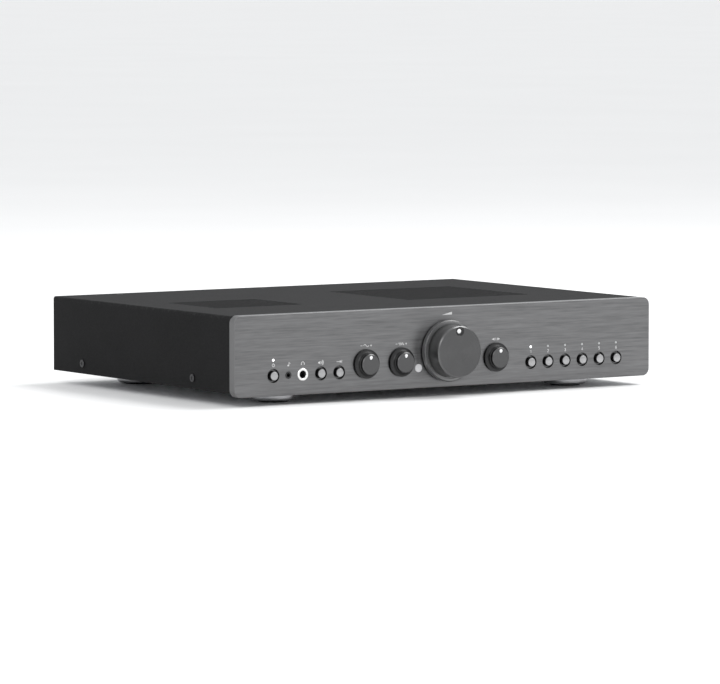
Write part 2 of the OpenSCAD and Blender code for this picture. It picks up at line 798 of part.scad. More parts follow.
module post_cap(i) {
    rib_count = 16;
    shade = i % 2 == 1 ? "#801818" : "#181818";
    color(shade) facing_back(post_xs[i - 1], panel_y + cap_start, rear_z) difference() {
        rotate_extrude() polygon([
            [post_r + running, 0], [post_cap_r - 0.6, 0], [post_cap_r, 0.6], [post_cap_r, cap_l - 5],
            [post_cap_r - 0.8, cap_l - 4.2], [post_cap_r - 0.8, cap_l - 0.8], [post_cap_r - 1.6, cap_l],
            [post_r + running, cap_l]
        ]);
        for (k = [0:rib_count - 1]) rotate([0, 0, k * 360 / rib_count])
            translate([post_cap_r + 0.1, 0, 1.6]) cylinder(r = 0.6, h = cap_l - 7.6);
    }
}

base_tray();
inner_front_plate();
rear_panel();
top_cover();
fascia();
cover_screws();
chassis_screws();
feet();
foot_pads();
sensor_lens();
lamp_lenses();
headphone_jack();
headphone_ring();
aux_jack();
volume_control();
tone_controls();
control_board();
key_switches();
main_board();
board_standoffs();
transformer();
transformer_clamp();
heatsink();
output_transistors();
smoothing_capacitors();
speaker_relay();
input_board();
phono_sockets();
mains_inlet();
rocker_frame();
post_barrels();
post_collars();
ribbon_cable();
power_leads();
volume_knob();
volume_shaft();
bass_knob();
bass_shaft();
treble_knob();
treble_shaft();
balance_knob();
balance_shaft();
standby_button();
speaker_button();
direct_button();
for (i = [1:6]) source_button(i);
power_rocker();
for (i = [1:4]) clamp_washer(i);
for (i = [1:4]) post_cap(i);
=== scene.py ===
"""Looks of an integrated amplifier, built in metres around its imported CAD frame."""

import math

import bmesh
import bpy
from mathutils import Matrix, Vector
from mathutils.geometry import tessellate_polygon


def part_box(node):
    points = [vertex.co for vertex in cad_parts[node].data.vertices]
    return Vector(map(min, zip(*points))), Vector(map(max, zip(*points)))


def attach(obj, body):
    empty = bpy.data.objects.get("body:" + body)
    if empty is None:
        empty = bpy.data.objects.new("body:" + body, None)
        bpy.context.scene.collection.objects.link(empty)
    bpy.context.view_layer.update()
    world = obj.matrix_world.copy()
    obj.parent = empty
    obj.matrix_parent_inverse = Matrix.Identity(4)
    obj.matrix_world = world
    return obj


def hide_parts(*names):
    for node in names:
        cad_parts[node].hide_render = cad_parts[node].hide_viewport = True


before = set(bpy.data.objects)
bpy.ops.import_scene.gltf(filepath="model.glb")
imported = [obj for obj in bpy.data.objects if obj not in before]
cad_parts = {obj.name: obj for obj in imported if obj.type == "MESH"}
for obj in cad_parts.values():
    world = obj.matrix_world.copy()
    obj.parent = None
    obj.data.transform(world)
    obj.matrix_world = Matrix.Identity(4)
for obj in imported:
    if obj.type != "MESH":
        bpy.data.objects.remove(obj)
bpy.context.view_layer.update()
MM = 0.001


# ---- Places, in millimetres, from the frame ----

def box_mm(node):
    """Lowest and highest corner of a CAD node, in millimetres."""
    low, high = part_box(node)
    return low / MM, high / MM


def middle(node):
    """The middle of a CAD node's box, in millimetres."""
    low, high = box_mm(node)
    return (low + high) / 2


FASCIA_LOW, FASCIA_HIGH = box_mm("fascia")
FACE_Y = FASCIA_LOW.y
FACE_T = FASCIA_HIGH.y - FACE_Y
COVER_LOW, COVER_HIGH = box_mm("top_cover")
PANEL_LOW, PANEL_HIGH = box_mm("rear_panel")
SHEET_T = 1.2
SCREW_R = 1.7
LOOSE = 0.3
TOUCH = 0.000001
SINK_VENT = middle("heatsink")
BUTTON_NAMES = ["standby_button", "speaker_button", "direct_button"]
SOURCE_NAMES = [f"source_button_{i}" for i in range(1, 7)]
LAMP_NAMES = [BUTTON_NAMES[0], *SOURCE_NAMES]
LIT_NAMES = [BUTTON_NAMES[0], SOURCE_NAMES[0]]
TONE_NAMES = ["bass", "treble", "balance"]
BUTTON_Z = middle("standby_button").z
BUTTON_COLLAR = 1.1
BUTTON_R = (box_mm("standby_button")[1].x - box_mm("standby_button")[0].x) / 2 - BUTTON_COLLAR
LAMP_Z = middle("lamp_lenses").z
HEADPHONE_X = middle("headphone_jack").x
AUX_X = middle("aux_jack").x
SENSOR_X = middle("sensor_lens").x
REAR_Z = middle("post_barrels").z
SOCKET_LOW, SOCKET_HIGH = box_mm("phono_sockets")
INLET_SCREW_X = 20
SOCKET_R = 4.15
SOCKET_ROWS = [SOCKET_LOW.z + SOCKET_R, SOCKET_HIGH.z - SOCKET_R]
SOCKET_COUNT = 6
SOCKET_PITCH = (SOCKET_HIGH.x - SOCKET_LOW.x - 2 * SOCKET_R) / (SOCKET_COUNT - 1)
SOCKET_XS = [SOCKET_HIGH.x - SOCKET_R - i * SOCKET_PITCH for i in range(SOCKET_COUNT)]
POST_XS = [middle(f"post_cap_{i}").x for i in range(1, 5)]
VOLUME_MID = middle("volume_knob")


# ---- Materials ----

FINE = 0.000004  # depth of brush lines and turned rings, in metres


def node(tree, kind, **settings):
    """A new shader node with its own settings."""
    made = tree.nodes.new(f"ShaderNode{kind}")
    for key, value in settings.items():
        setattr(made, key, value)
    return made


def feed(tree, made, **sources):
    """Gives a node's inputs, named with _ for each space, an output or a constant each."""
    for key, source in sources.items():
        entry = made.inputs[key.replace("_", " ")]
        if isinstance(source, bpy.types.NodeSocket):
            tree.links.new(source, entry)
        else:
            entry.default_value = source


def maths(tree, operation, first, second=None):
    """A sum on one output and another output or a number."""
    made = node(tree, "Math", operation=operation)
    tree.links.new(first, made.inputs[0])
    if isinstance(second, int):
        made.inputs[1].default_value = second
    elif second is not None:
        tree.links.new(second, made.inputs[1])
    return made.outputs[0]


def stretched(tree, scale=(1, 1, 1)):
    """The object's own coordinates, in metres, scaled along each axis."""
    mapping = node(tree, "Mapping")
    feed(tree, mapping, Scale=scale, Vector=node(tree, "TexCoord").outputs["Object"])
    return mapping.outputs["Vector"]


def counted_from(tree, x, y, z):
    """The object's own coordinates, counted from a point in millimetres."""
    apart = node(tree, "VectorMath", operation="SUBTRACT")
    apart.inputs[1].default_value = (x * MM, y * MM, z * MM)
    tree.links.new(node(tree, "TexCoord").outputs["Object"], apart.inputs[0])
    return apart.outputs[0]


def noise(tree, scale, detail=2.0, roughness=0.5, vector=None):
    """A noise pattern from 0 to 1, in the object's own coordinates or others."""
    made = node(tree, "TexNoise")
    feed(tree, made, Scale=scale, Detail=detail, Roughness=roughness, Vector=vector or stretched(tree))
    return made.outputs["Fac"]


def spread(tree, value, low, high, start=0.3, end=0.7):
    """A pattern's values from start to end, laid out from low to high."""
    made = node(tree, "MapRange")
    feed(tree, made, From_Min=start, From_Max=end, To_Min=low, To_Max=high, Value=value)
    return made.outputs["Result"]


def colours(tree, value, *stops):
    """A colour ramp: each stop is (place, (r, g, b))."""
    made = node(tree, "ValToRGB")
    made.color_ramp.elements[0].position = stops[0][0]
    made.color_ramp.elements[1].position = stops[-1][0]
    for place, _ in stops[1:-1]:
        made.color_ramp.elements.new(place)
    for element, (_, rgb) in zip(made.color_ramp.elements, stops):
        element.color = (*rgb, 1)
    feed(tree, made, Fac=value)
    return made.outputs["Color"]


def bump(tree, height, depth):
    """A bump of the given depth in metres."""
    made = node(tree, "Bump")
    feed(tree, made, Distance=depth, Strength=1.0, Height=height)
    return made.outputs["Normal"]


def shader(name, **constants):
    """A new material with one Principled shader: (material, tree, shader)."""
    material = bpy.data.materials.new(name)
    material.use_nodes = True
    made = material.node_tree.nodes["Principled BSDF"]
    feed(material.node_tree, made, **constants)
    return material, material.node_tree, made


def shades(rgb, darkest, lightest, start=0.3, end=0.7):
    """Two stops of a colour ramp: the colour made darker and lighter."""
    return [(start, tuple(c * darkest for c in rgb)), (end, tuple(min(1.0, c * lightest) for c in rgb))]


def brushed_metal(name, rgb, grain, roughness=0.3, contrast=0.1, **constants):
    """Metal with straight brush lines: grain is the scale along each axis, least along the lines."""
    material, tree, made = shader(name, Metallic=1.0, **constants)
    lines = None
    for coarser, weight in ((1, 0.35), (3.5, 0.45), (12, 0.2)):
        layer = noise(tree, 1.0, vector=stretched(tree, tuple(g / coarser for g in grain)))
        layer = spread(tree, layer, 0.0, weight)
        lines = layer if lines is None else maths(tree, "ADD", lines, layer)
    cloud = spread(tree, noise(tree, 9), -0.02, 0.02)
    rough = spread(tree, lines, roughness - 0.05, roughness + 0.05, 0.1, 0.9)
    feed(
        tree, made, Roughness=maths(tree, "ADD", rough, cloud), Normal=bump(tree, lines, FINE),
        Base_Color=colours(tree, lines, *shades(rgb, 1 - contrast, 1 + contrast, 0.15, 0.85)),
    )
    return material


def spun_metal(name, rgb, axis, roughness=0.28, contrast=0.1, **constants):
    """Turned metal with fine rings round an axis that runs along Y."""
    material, tree, made = shader(name, Metallic=1.0, **constants)
    flat = node(tree, "VectorMath", operation="MULTIPLY")
    flat.inputs[1].default_value = (1, 0, 1)
    radius = node(tree, "VectorMath", operation="LENGTH")
    tree.links.new(counted_from(tree, axis.x, 0, axis.z), flat.inputs[0])
    tree.links.new(flat.outputs[0], radius.inputs[0])
    ring = node(tree, "CombineXYZ")
    feed(tree, ring, X=radius.outputs["Value"])
    pitch = 0.00022
    rings = noise(tree, 1 / pitch, 2.0, 0.7, ring.outputs[0])
    patches = spread(tree, noise(tree, 60), -0.02, 0.03)
    rough = spread(tree, rings, roughness - 0.05, roughness + 0.05)
    feed(
        tree, made, Roughness=maths(tree, "ADD", rough, patches), Normal=bump(tree, rings, FINE),
        Base_Color=colours(tree, rings, *shades(rgb, 1 - contrast, 1 + contrast, 0.25, 0.75)),
        Tangent=node(tree, "Tangent", direction_type="RADIAL", axis="Y").outputs[0],
    )
    return material


def worn(tree, tone, wear):
    """A colour that turns to the wear colour in patches along the edges."""
    pointed = node(tree, "NewGeometry").outputs["Pointiness"]
    scuff = spread(tree, noise(tree, 420, 4.0, 0.7), 0.0, 1.0, 0.5, 0.75)
    edge = maths(tree, "MULTIPLY", spread(tree, pointed, 0.0, 1.0, 0.52, 0.62), scuff)
    mix = node(tree, "Mix", data_type="RGBA")
    feed(tree, mix, Factor=edge, A=tone, B=(*wear, 1))
    return mix.outputs["Result"]


def grained(name, rgb, grain=2500, depth=0.00002, roughness=0.5, contrast=0.12, wear=None, **constants):
    """Painted or moulded stock: a fine grain, slow changes of tone and, if wear is given, worn edges."""
    material, tree, made = shader(name, **constants)
    fine = noise(tree, grain)
    cloud = noise(tree, 25, 4.0, 0.6)
    tone = colours(tree, cloud, *shades(rgb, 1 - contrast, 1 + contrast))
    if wear:
        tone = worn(tree, tone, wear)
    rough = spread(tree, fine, roughness - 0.07, roughness + 0.07)
    feed(tree, made, Base_Color=tone, Roughness=rough, Normal=bump(tree, fine, depth))
    return material


def plated(name, rgb, roughness=0.25):
    """Plated metal: smooth, with faint clouds and fine handling marks."""
    material, tree, made = shader(name, Metallic=1.0)
    cloud = noise(tree, 90, 4.0, 0.65)
    marks = noise(tree, 1.0, vector=stretched(tree, (900, 2500, 300)))
    feed(
        tree, made, Base_Color=colours(tree, cloud, *shades(rgb, 0.9, 1.06)),
        Roughness=spread(tree, cloud, roughness - 0.06, roughness + 0.08), Normal=bump(tree, marks, 0.000003),
    )
    return material


def circuit(name):
    """Green solder resist with copper tracks under it."""
    material, tree, made = shader(name, Coat_Weight=0.5, Coat_Roughness=0.15)
    cells = node(tree, "TexBrick", offset=0.37)
    feed(
        tree, cells, Scale=90, Mortar_Size=0.035, Mortar=(0.035, 0.3, 0.1, 1),
        Color1=(0.012, 0.13, 0.045, 1), Color2=(0.016, 0.17, 0.06, 1), Vector=stretched(tree),
    )
    rough = spread(tree, noise(tree, 600, 3.0), 0.3, 0.45)
    feed(
        tree, made, Base_Color=cells.outputs["Color"], Roughness=rough,
        Normal=bump(tree, cells.outputs["Fac"], 0.00003),
    )
    return material


def taped(name, centre):
    """Overlapping turns of amber tape round a ring winding."""
    material, tree, made = shader(name, Coat_Weight=0.4, Coat_Roughness=0.2)
    angle = node(tree, "TexGradient", gradient_type="RADIAL")
    feed(tree, angle, Vector=counted_from(tree, *centre))
    turn = maths(tree, "FRACT", maths(tree, "MULTIPLY", angle.outputs["Fac"], 46))
    lap = [(0.0, (0.2, 0.09, 0.015)), (0.12, (0.5, 0.27, 0.05)), (1.0, (0.6, 0.34, 0.07))]
    feed(
        tree, made, Base_Color=colours(tree, turn, *lap), Roughness=spread(tree, turn, 0.45, 0.3, 0, 1),
        Normal=bump(tree, turn, 0.0002),
    )
    return material


def lamp(name, rgb, glow):
    """A moulded lamp lens that glows with the given strength: a lit lamp's own light, and a faint painted
    glow for the unlit lamps and the sensor window.
    """
    material, tree, made = shader(name, IOR=1.49, Coat_Weight=0.6, Coat_Roughness=0.05)
    cloud = noise(tree, 1500)
    tone = colours(tree, cloud, *shades(rgb, 0.92, 1))
    rough = spread(tree, cloud, 0.12, 0.2)
    feed(tree, made, Base_Color=tone, Roughness=rough, Emission_Color=(*rgb, 1), Emission_Strength=glow)
    return material


MATERIALS = {
    "fascia": brushed_metal(
        "fascia_aluminium", (0.168, 0.168, 0.17), (75, 1800, 1800), 0.36, 0.21,
        Anisotropic=0.6, Anisotropic_Rotation=0.25,
    ),
    "fascia_edge": plated("fascia_cut_edge", (0.19, 0.19, 0.192), 0.58),
    # Painted shade: a darker copy of the fascia metal for the walls of its dishes and holes.
    "dish": plated("dish_painted_shade", (0.13, 0.13, 0.132), 0.42),
    # Painted highlight and painted shade for the knob dimples: a near-white copy of the metal in the middle,
    # a dark copy round it.
    "dimple": plated("dimple_painted_highlight", (0.95, 0.95, 0.95), 0.24),
    "shade": plated("dimple_wall_painted_shade", (0.05, 0.05, 0.051), 0.42),
    "cover": grained(
        "cover_powder_coat", (0.008, 0.008, 0.0085), 1100, 0.00002, 0.8, wear=(0.03, 0.03, 0.03), IOR=1.25,
    ),
    "panel": grained("panel_powder_coat", (0.012, 0.012, 0.0125), 1300, 0.00002, 0.7, IOR=1.35),
    "zinc": brushed_metal("zinc_plate", (0.5, 0.51, 0.53), (200, 200, 200), 0.38, 0.12),
    "black_screw": plated("black_screw_steel", (0.05, 0.05, 0.052), 0.35),
    "screw": plated("plated_screw_steel", (0.55, 0.55, 0.56), 0.28),
    "foot_metal": brushed_metal("foot_aluminium", (0.42, 0.42, 0.43), (300, 300, 2600), 0.32, 0.08),
    "rubber": grained("pad_rubber", (0.022, 0.022, 0.022), 900, 0.00008, 0.8),
    # The sensor window and the unlit lamps glow faintly: painted light. Only the lit lamps shine.
    "sensor": lamp("sensor_window_painted_glow", (0.62, 0.62, 0.63), 0.05),
    "lamp_on": lamp("lamp_lit", (1.0, 1.0, 1.0), 1.3),
    "lamp_off": lamp("lamp_unlit_painted_glow", (0.42, 0.43, 0.43), 0.06),
    "jack": grained("jack_plastic", (0.018, 0.018, 0.019), 1400, 0.00003, 0.42),
    "ring": plated("ring_nickel", (0.86, 0.86, 0.85), 0.34),
    "can": brushed_metal("plated_can", (0.55, 0.55, 0.56), (150, 700, 150), 0.33, 0.1),
    "board": circuit("solder_resist"),
    "brass": plated("turned_brass", (0.75, 0.55, 0.24), 0.25),
    "winding": taped("winding_tape", middle("transformer")),
    "heatsink": brushed_metal("black_anodised", (0.03, 0.03, 0.033), (100, 100, 1500), 0.4, 0.15),
    "epoxy": grained("device_epoxy", (0.02, 0.02, 0.02), 2200, 0.00004, 0.6),
    "sleeve": grained("capacitor_sleeve", (0.02, 0.035, 0.11), 300, 0.00002, 0.28, Coat_Weight=0.3),
    "relay": grained("relay_case", (0.6, 0.58, 0.52), 500, 0.00002, 0.3),
    "gold": plated("gold_plate", (0.86, 0.62, 0.25), 0.2),
    "moulding": grained("black_moulding", (0.016, 0.016, 0.017), 2200, 0.00004, 0.46),
    "rocker": grained("rocker_moulding", (0.02, 0.02, 0.021), 800, 0.00001, 0.27),
    "ribbon": grained("ribbon_jacket", (0.38, 0.38, 0.38), 400, 0.00003, 0.5),
    "lead": grained("lead_jacket", (0.16, 0.06, 0.02), 500, 0.00003, 0.42),
    "shaft": brushed_metal("turned_steel", (0.55, 0.55, 0.55), (900, 60, 900), 0.25, 0.08),
    "button": plated("button_satin", (0.4, 0.4, 0.404), 0.36),
    # Painted shade: a dark copy of the button metal for the button walls.
    "button_wall": plated("button_wall_painted_shade", (0.06, 0.06, 0.061), 0.42),
    "cap_red": grained("cap_red_moulding", (0.34, 0.012, 0.012), 700, 0.00001, 0.22, Coat_Weight=0.4),
    "cap_black": grained("cap_black_moulding", (0.014, 0.014, 0.015), 700, 0.00001, 0.24, Coat_Weight=0.4),
    "white": grained("white_moulding", (0.66, 0.66, 0.64), 900, 0.00001, 0.35),
    "red": grained("red_moulding", (0.5, 0.02, 0.02), 900, 0.00001, 0.35),
    "print": grained("printed_ink", (0.58, 0.58, 0.58), 3000, 0.000005, 0.55, 0.04),
}


# ---- Mesh building ----

def circle(x, y, r, count=64):
    """A shape function: points of a circle whose radius can grow."""
    def points(grow=0.0):
        angles = [2 * math.pi * i / count for i in range(count)]
        return [(x + (r + grow) * math.cos(a), y + (r + grow) * math.sin(a)) for a in angles]
    return points


def round_rect(x, y, w, h, r, steps=8):
    """A shape function: points of a round-cornered rectangle whose outline can grow."""
    def points(grow=0.0):
        radius = max(r + grow, 0.02)
        half_w, half_h = w / 2 + grow - radius, h / 2 + grow - radius
        out = []
        for corner, (sx, sy) in enumerate([(1, 1), (-1, 1), (-1, -1), (1, -1)]):
            for i in range(steps + 1):
                a = math.pi / 2 * (corner + i / steps)
                out.append((x + sx * half_w + radius * math.cos(a), y + sy * half_h + radius * math.sin(a)))
        return out
    return points


def rectangle(low, high):
    """A shape function: the corners of a rectangle, from its low and high corner, that can grow."""
    def points(grow=0.0):
        left, bottom, right, top = low[0] - grow, low[1] - grow, high[0] + grow, high[1] + grow
        return [(left, bottom), (right, bottom), (right, top), (left, top)]
    return points


def stitch(bm, first, second, material=0):
    """Faces between two loops with the same number of points."""
    for i in range(len(first)):
        j = (i + 1) % len(first)
        face = bm.faces.new((first[i], first[j], second[j], second[i]))
        face.material_index = material


def fill(bm, loops, material=0):
    """A flat face inside the first loop and outside the others."""
    corners = [v for loop in loops for v in loop]
    for triangle in tessellate_polygon([[v.co for v in loop] for loop in loops]):
        face = bm.faces.new([corners[i] for i in triangle])
        face.material_index = material


def plate(bm, outer, holes, place, behind=()):
    """A sheet with holes. The outer outline and each hole are (shape, levels, material), where each level is
    (growth, depth) from the front to the back. A hole that ends with "blind" is closed at its last level. The
    loops behind are left open in its back."""
    fronts, backs = [], []
    for shape, levels, material, *kind in [outer, *holes]:
        rings = [[bm.verts.new(place(u, v, depth)) for u, v in shape(grow)] for grow, depth in levels]
        for first, second in zip(rings, rings[1:]):
            stitch(bm, first, second, material)
        fronts.append(rings[0])
        if kind:
            fill(bm, [rings[-1]], material)
        else:
            backs.append(rings[-1])
    fill(bm, fronts)
    fill(bm, [*backs, *behind])


def on_front(u, v, depth):
    """A point on the fascia: across, up, and back from its front."""
    return Vector((u, FACE_Y + depth, v)) * MM


def on_rear(u, v, depth):
    """A point on the rear panel: across, up, and forward from its back."""
    return Vector((u, PANEL_HIGH.y - depth, v)) * MM


def fillet(points, steps=4):
    """Rounds an outline of (radius, height, corner radius). With a material as a fourth value in each point,
    it gives (outline, materials): a point's material is for its rounding and for the stretch after it."""
    out, materials = [], []
    for i, (r, h, corner, *material) in enumerate(points):
        if corner == 0 or i in (0, len(points) - 1):
            out.append((r, h))
            materials += material
            continue
        here = Vector((r, h))
        before, after = Vector(points[i - 1][:2]) - here, Vector(points[i + 1][:2]) - here
        cut = corner / math.tan(before.angle(after) / 2)
        start = here + before.normalized() * min(cut, before.length * 0.49)
        end = here + after.normalized() * min(cut, after.length * 0.49)
        for k in range(steps + 1):
            t = k / steps
            spot = start.lerp(here, t).lerp(here.lerp(end, t), t)
            out.append((spot.x, spot.y))
            materials += material
    return (out, materials) if materials else out


def facing(direction, x, y, z):
    """Turns (radius, angle, height) into a point of a piece that faces front, back or up from x, y, z."""
    def place(r, angle, h):
        across, up = r * math.cos(angle), r * math.sin(angle)
        if direction == "up":
            return Vector((x + across, y + up, z + h)) * MM
        return Vector((x + across, y + (h if direction == "back" else -h), z + up)) * MM
    return place


def lathe(bm, outline, place, count=96, materials=None, swell=None):
    """Turns an outline of (radius, height) round an axis. Ends on the axis close with a fan, and an outline
    whose last point is its first makes a ring. swell(angle, height) adds to the radius."""
    rings = []
    looped = outline[0] == outline[-1]
    for r, h in outline[:-1] if looped else outline:
        if r < 1e-6:
            rings.append([bm.verts.new(place(0, 0, h))])
            continue
        ring = []
        for i in range(count):
            angle = 2 * math.pi * i / count
            ring.append(bm.verts.new(place(r + (swell(angle, h) if swell else 0), angle, h)))
        rings.append(ring)
    pairs = list(zip(rings, rings[1:])) + ([(rings[-1], rings[0])] if looped else [])
    for index, (first, second) in enumerate(pairs):
        material = materials[index] if materials else 0
        if len(first) == 1 or len(second) == 1:
            tip, ring = (first[0], second) if len(first) == 1 else (second[0], first)
            for i in range(count):
                face = bm.faces.new((tip, ring[i], ring[(i + 1) % count]))
                face.material_index = material
        else:
            stitch(bm, first, second, material)


def block(bm, low, high, bevel):
    """A box from corner to corner, in millimetres, with rounded edges."""
    made = bmesh.ops.create_cube(bm, size=1.0)["verts"]
    for v in made:
        v.co = Vector([(a + b) / 2 + c * (b - a) for a, b, c in zip(low, high, v.co)]) * MM
    edges = list({e for v in made for e in v.link_edges})
    bmesh.ops.bevel(bm, geom=edges, offset=bevel * MM, segments=2, profile=0.5, affect="EDGES")


def placed(name, data):
    """A new object in the scene."""
    made = bpy.data.objects.new(name, data)
    bpy.context.scene.collection.objects.link(made)
    return made


def solid(name, bm, materials):
    """A new object with a finished mesh. A material is a name in MATERIALS or a material of its own."""
    bmesh.ops.recalc_face_normals(bm, faces=bm.faces)
    mesh = bpy.data.meshes.new(name)
    bm.to_mesh(mesh)
    bm.free()
    for material in materials:
        mesh.materials.append(MATERIALS[material] if isinstance(material, str) else material)
    return placed(name, mesh)


def piece(name, bm, materials, slot, *replaced, body="chassis", sharp=32):
    """Makes the mesh a piece that rides on a body, and stands for the CAD nodes named."""
    made = solid(name, bm, materials)
    smooth(made, sharp)
    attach(made, body)
    if replaced:
        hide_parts(*replaced)
    return made


def smooth(made, sharp):
    """Smooth shading that keeps edges sharper than the given angle."""
    made.data.polygons.foreach_set("use_smooth", [True] * len(made.data.polygons))
    made.data.set_sharp_from_angle(angle=math.radians(sharp))
    weighted = made.modifiers.new("even_normals", "WEIGHTED_NORMAL")
    weighted.keep_sharp = True


def dimple(made, x, z, r, depth, bright_r):
    """Cuts a round hollow into the front of a knob: a painted highlight in its middle, a near-white copy of
    the metal, and painted shade round that, a dark copy.
    """
    front = min(v.co.y for v in made.data.vertices) / MM
    tilts = [math.pi * i / 48 for i in range(49)] + [math.asin(bright_r / r)]
    ball = [(r * math.sin(a), -r * math.cos(a)) for a in sorted(tilts)]
    bm = bmesh.new()
    # Faces at the bottom of the hollow, within bright_r of its axis, get the painted highlight; the rest get
    # the painted shade.
    highlight_faces = [int(h < 0 and edge < bright_r + TOUCH) for edge, h in ball[1:]]
    ball[0], ball[-1] = (0, -r), (0, r)
    lathe(bm, ball, facing("front", x, front - r + depth, z), 96, highlight_faces)
    cutter = solid("cutter", bm, ["shade", "dimple"])
    cutter.data.polygons.foreach_set("use_smooth", [True] * len(cutter.data.polygons))
    made.modifiers.clear()
    cut = made.modifiers.new("dimple", "BOOLEAN")
    cut.operation, cut.object, cut.solver, cut.material_mode = "DIFFERENCE", cutter, "EXACT", "TRANSFER"
    bpy.context.view_layer.update()
    result = bpy.data.meshes.new_from_object(made.evaluated_get(bpy.context.evaluated_depsgraph_get()))
    made.modifiers.clear()
    result.name = made.name
    made.data = result
    bpy.data.objects.remove(cutter)
    smooth(made, 32)


# ---- Front ----

def make_fascia():
    """The front plate, with its dishes, holes and soft edges."""
    low, high = FASCIA_LOW, FASCIA_HIGH
    outline = round_rect((low.x + high.x) / 2, (low.z + high.z) / 2, high.x - low.x, high.z - low.z, 6.5, 12)
    edge = [(-0.5, 0), (-0.4, 0.03), (-0.03, 0.4), (0, 0.5), (0, FACE_T - 0.3), (-0.3, FACE_T)]
    dish_r = 5.8
    lip = dish_r - BUTTON_R - LOOSE
    dished = [(0.3, 0), (0.08, 0.06), (0, 0.28), (0, 2.2), (-0.25, 2.5)]
    dished += [(0.1 - lip, 2.5), (-lip, 2.6), (-lip, FACE_T)]
    plain = [(0.15, 0), (0, 0.15), (0, FACE_T)]
    stepped = [(0.12, 0), (0, 0.12), (0, 1.5), (-1, 1.5), (-1, FACE_T)]
    # Every dish and hole has its walls in the dish material: painted shade.
    holes = [(circle(middle(n).x, BUTTON_Z, dish_r), dished, 2) for n in BUTTON_NAMES + SOURCE_NAMES]
    holes += [(circle(middle(n).x, LAMP_Z, 1.2, 32), plain, 2) for n in LAMP_NAMES]
    holes += [(circle(middle(f"{n}_knob").x, middle(f"{n}_knob").z, 4.5), plain, 2) for n in TONE_NAMES]
    holes += [
        (circle(VOLUME_MID.x, VOLUME_MID.z, 4.5), plain, 2),
        (circle(HEADPHONE_X, BUTTON_Z, 5.5), stepped, 2),
        (circle(AUX_X, BUTTON_Z, 3), plain, 2),
        (circle(SENSOR_X, BUTTON_Z, 3.75), plain, 2),
    ]
    bm = bmesh.new()
    plate(bm, (outline, edge, 1), holes, on_front)
    piece("front_plate", bm, ["fascia", "fascia_edge", "dish"], "brushed_face", "fascia")


def make_volume_knob():
    """Two steps with a groove between them, a spun face and a finger dimple."""
    low, high = box_mm("volume_knob")
    mid, reach = (low + high) / 2, FACE_Y - low.y
    skirt = (high.x - low.x) / 2
    barrel, step = 22.7, 6
    face, side, edge, rim, wall = range(5)
    outline, materials = fillet([
        (0, reach - 0.2, 0, face), (4, reach - 0.2, 0.5, face), (barrel - 1.5, reach, 0.2, edge),
        (barrel - 0.5, reach - 1, 0.15, side), (barrel, step - 1, 0.1, side),
        (barrel + 1.1, step - 1, 0.15, side), (barrel + 1.1, step, 0.1, side), (skirt - 0.8, step, 0.1, rim),
        (skirt, step - 0.7, 0.1, wall), (skirt, 1.2, 0.2, wall), (skirt - 0.4, 0.8, 0.1, wall),
        (skirt - 3, 0.8, 0.3, wall), (skirt - 3.2, 3.6, 0.5, wall), (7, 3.6, 0.5, wall), (6, 0.9, 0.3, wall),
        (0, 0.9, 0, wall),
    ], 3)
    bm = bmesh.new()
    lathe(bm, outline, facing("front", mid.x, FACE_Y, mid.z), 192, materials)
    spun = {"Anisotropic": 0.75, "Anisotropic_Rotation": 0.25}
    # The face, side, edge, rim and wall are copies of one metal in different tones that paint the light and
    # shade on each surface: the side, edge and wall are painted lighter than the face.
    lit_and_shaded_tones = [
        spun_metal("volume_face_spun", (0.094, 0.094, 0.095), mid, 0.3, 0.1, **spun),
        spun_metal("volume_side_painted_light_and_shade", (0.19, 0.19, 0.191), mid, 0.42, 0.05),
        spun_metal("volume_edge_painted_light", (0.13, 0.13, 0.131), mid, 0.3, 0.03),
        spun_metal("volume_rim_cut", (0.1, 0.1, 0.101), mid, 0.36, 0.03),
        spun_metal("volume_wall_painted_light", (0.32, 0.32, 0.323), mid, 0.42, 0.05),
    ]
    made = piece("volume_dial", bm, lit_and_shaded_tones, "volume_metal", "volume_knob", body="volume_knob_body")
    # The dimple carries a painted highlight and painted shade.
    dimple(made, mid.x, mid.z + 17.8, 6.6, 1.6, 1.9)


def make_tone_knob(name):
    """A flared knob: a cove from the wide base to the small face, which has a dot of painted highlight."""
    low, high = box_mm(f"{name}_knob")
    mid, reach = (low + high) / 2, FACE_Y - low.y
    base, face_r, rim_top, cove = (high.x - low.x) / 2, 8.8, 1.8, 2.6
    face, side, edge = range(3)
    corners = [
        (0, reach - 0.1, 0, face), (face_r - 0.7, reach, 0.1, edge), (face_r, reach - 0.7, 0.2, side),
        (face_r, rim_top + cove + 0.4, 0.3, side),
    ]
    for i in range(9):
        a, inset = math.pi / 2 * (1 - i / 8), base - face_r - 0.6
        corners.append((base - inset * math.sin(a), rim_top + cove * (1 - math.cos(a)), 0, side))
    corners += [
        (base, 1.1, 0.15, side), (base - 0.3, 0.8, 0.1, side), (base - 1.5, 0.8, 0.2, side),
        (base - 1.7, 2, 0.3, side), (0, 2, 0, side),
    ]
    outline, materials = fillet(corners, 3)
    bm = bmesh.new()
    lathe(bm, outline, facing("front", mid.x, FACE_Y, mid.z), 96, materials)
    # The face, side and edge are copies of one metal in different tones: the side is painted shade, darker
    # than the face, and the edge is painted a little lighter.
    lit_and_shaded_tones = [
        spun_metal(f"{name}_face_spun", (0.094, 0.094, 0.095), mid, 0.3, 0.1),
        spun_metal(f"{name}_side_painted_light_and_shade", (0.045, 0.045, 0.0455), mid, 0.42, 0.05),
        spun_metal(f"{name}_edge_painted_light", (0.11, 0.11, 0.111), mid, 0.32, 0.03),
    ]
    made = piece(f"{name}_dial", bm, lit_and_shaded_tones, "tone_metal", f"{name}_knob", body=f"{name}_knob_body")
    dimple(made, mid.x, mid.z + 5.9, 2.3, 0.85, 1.55)


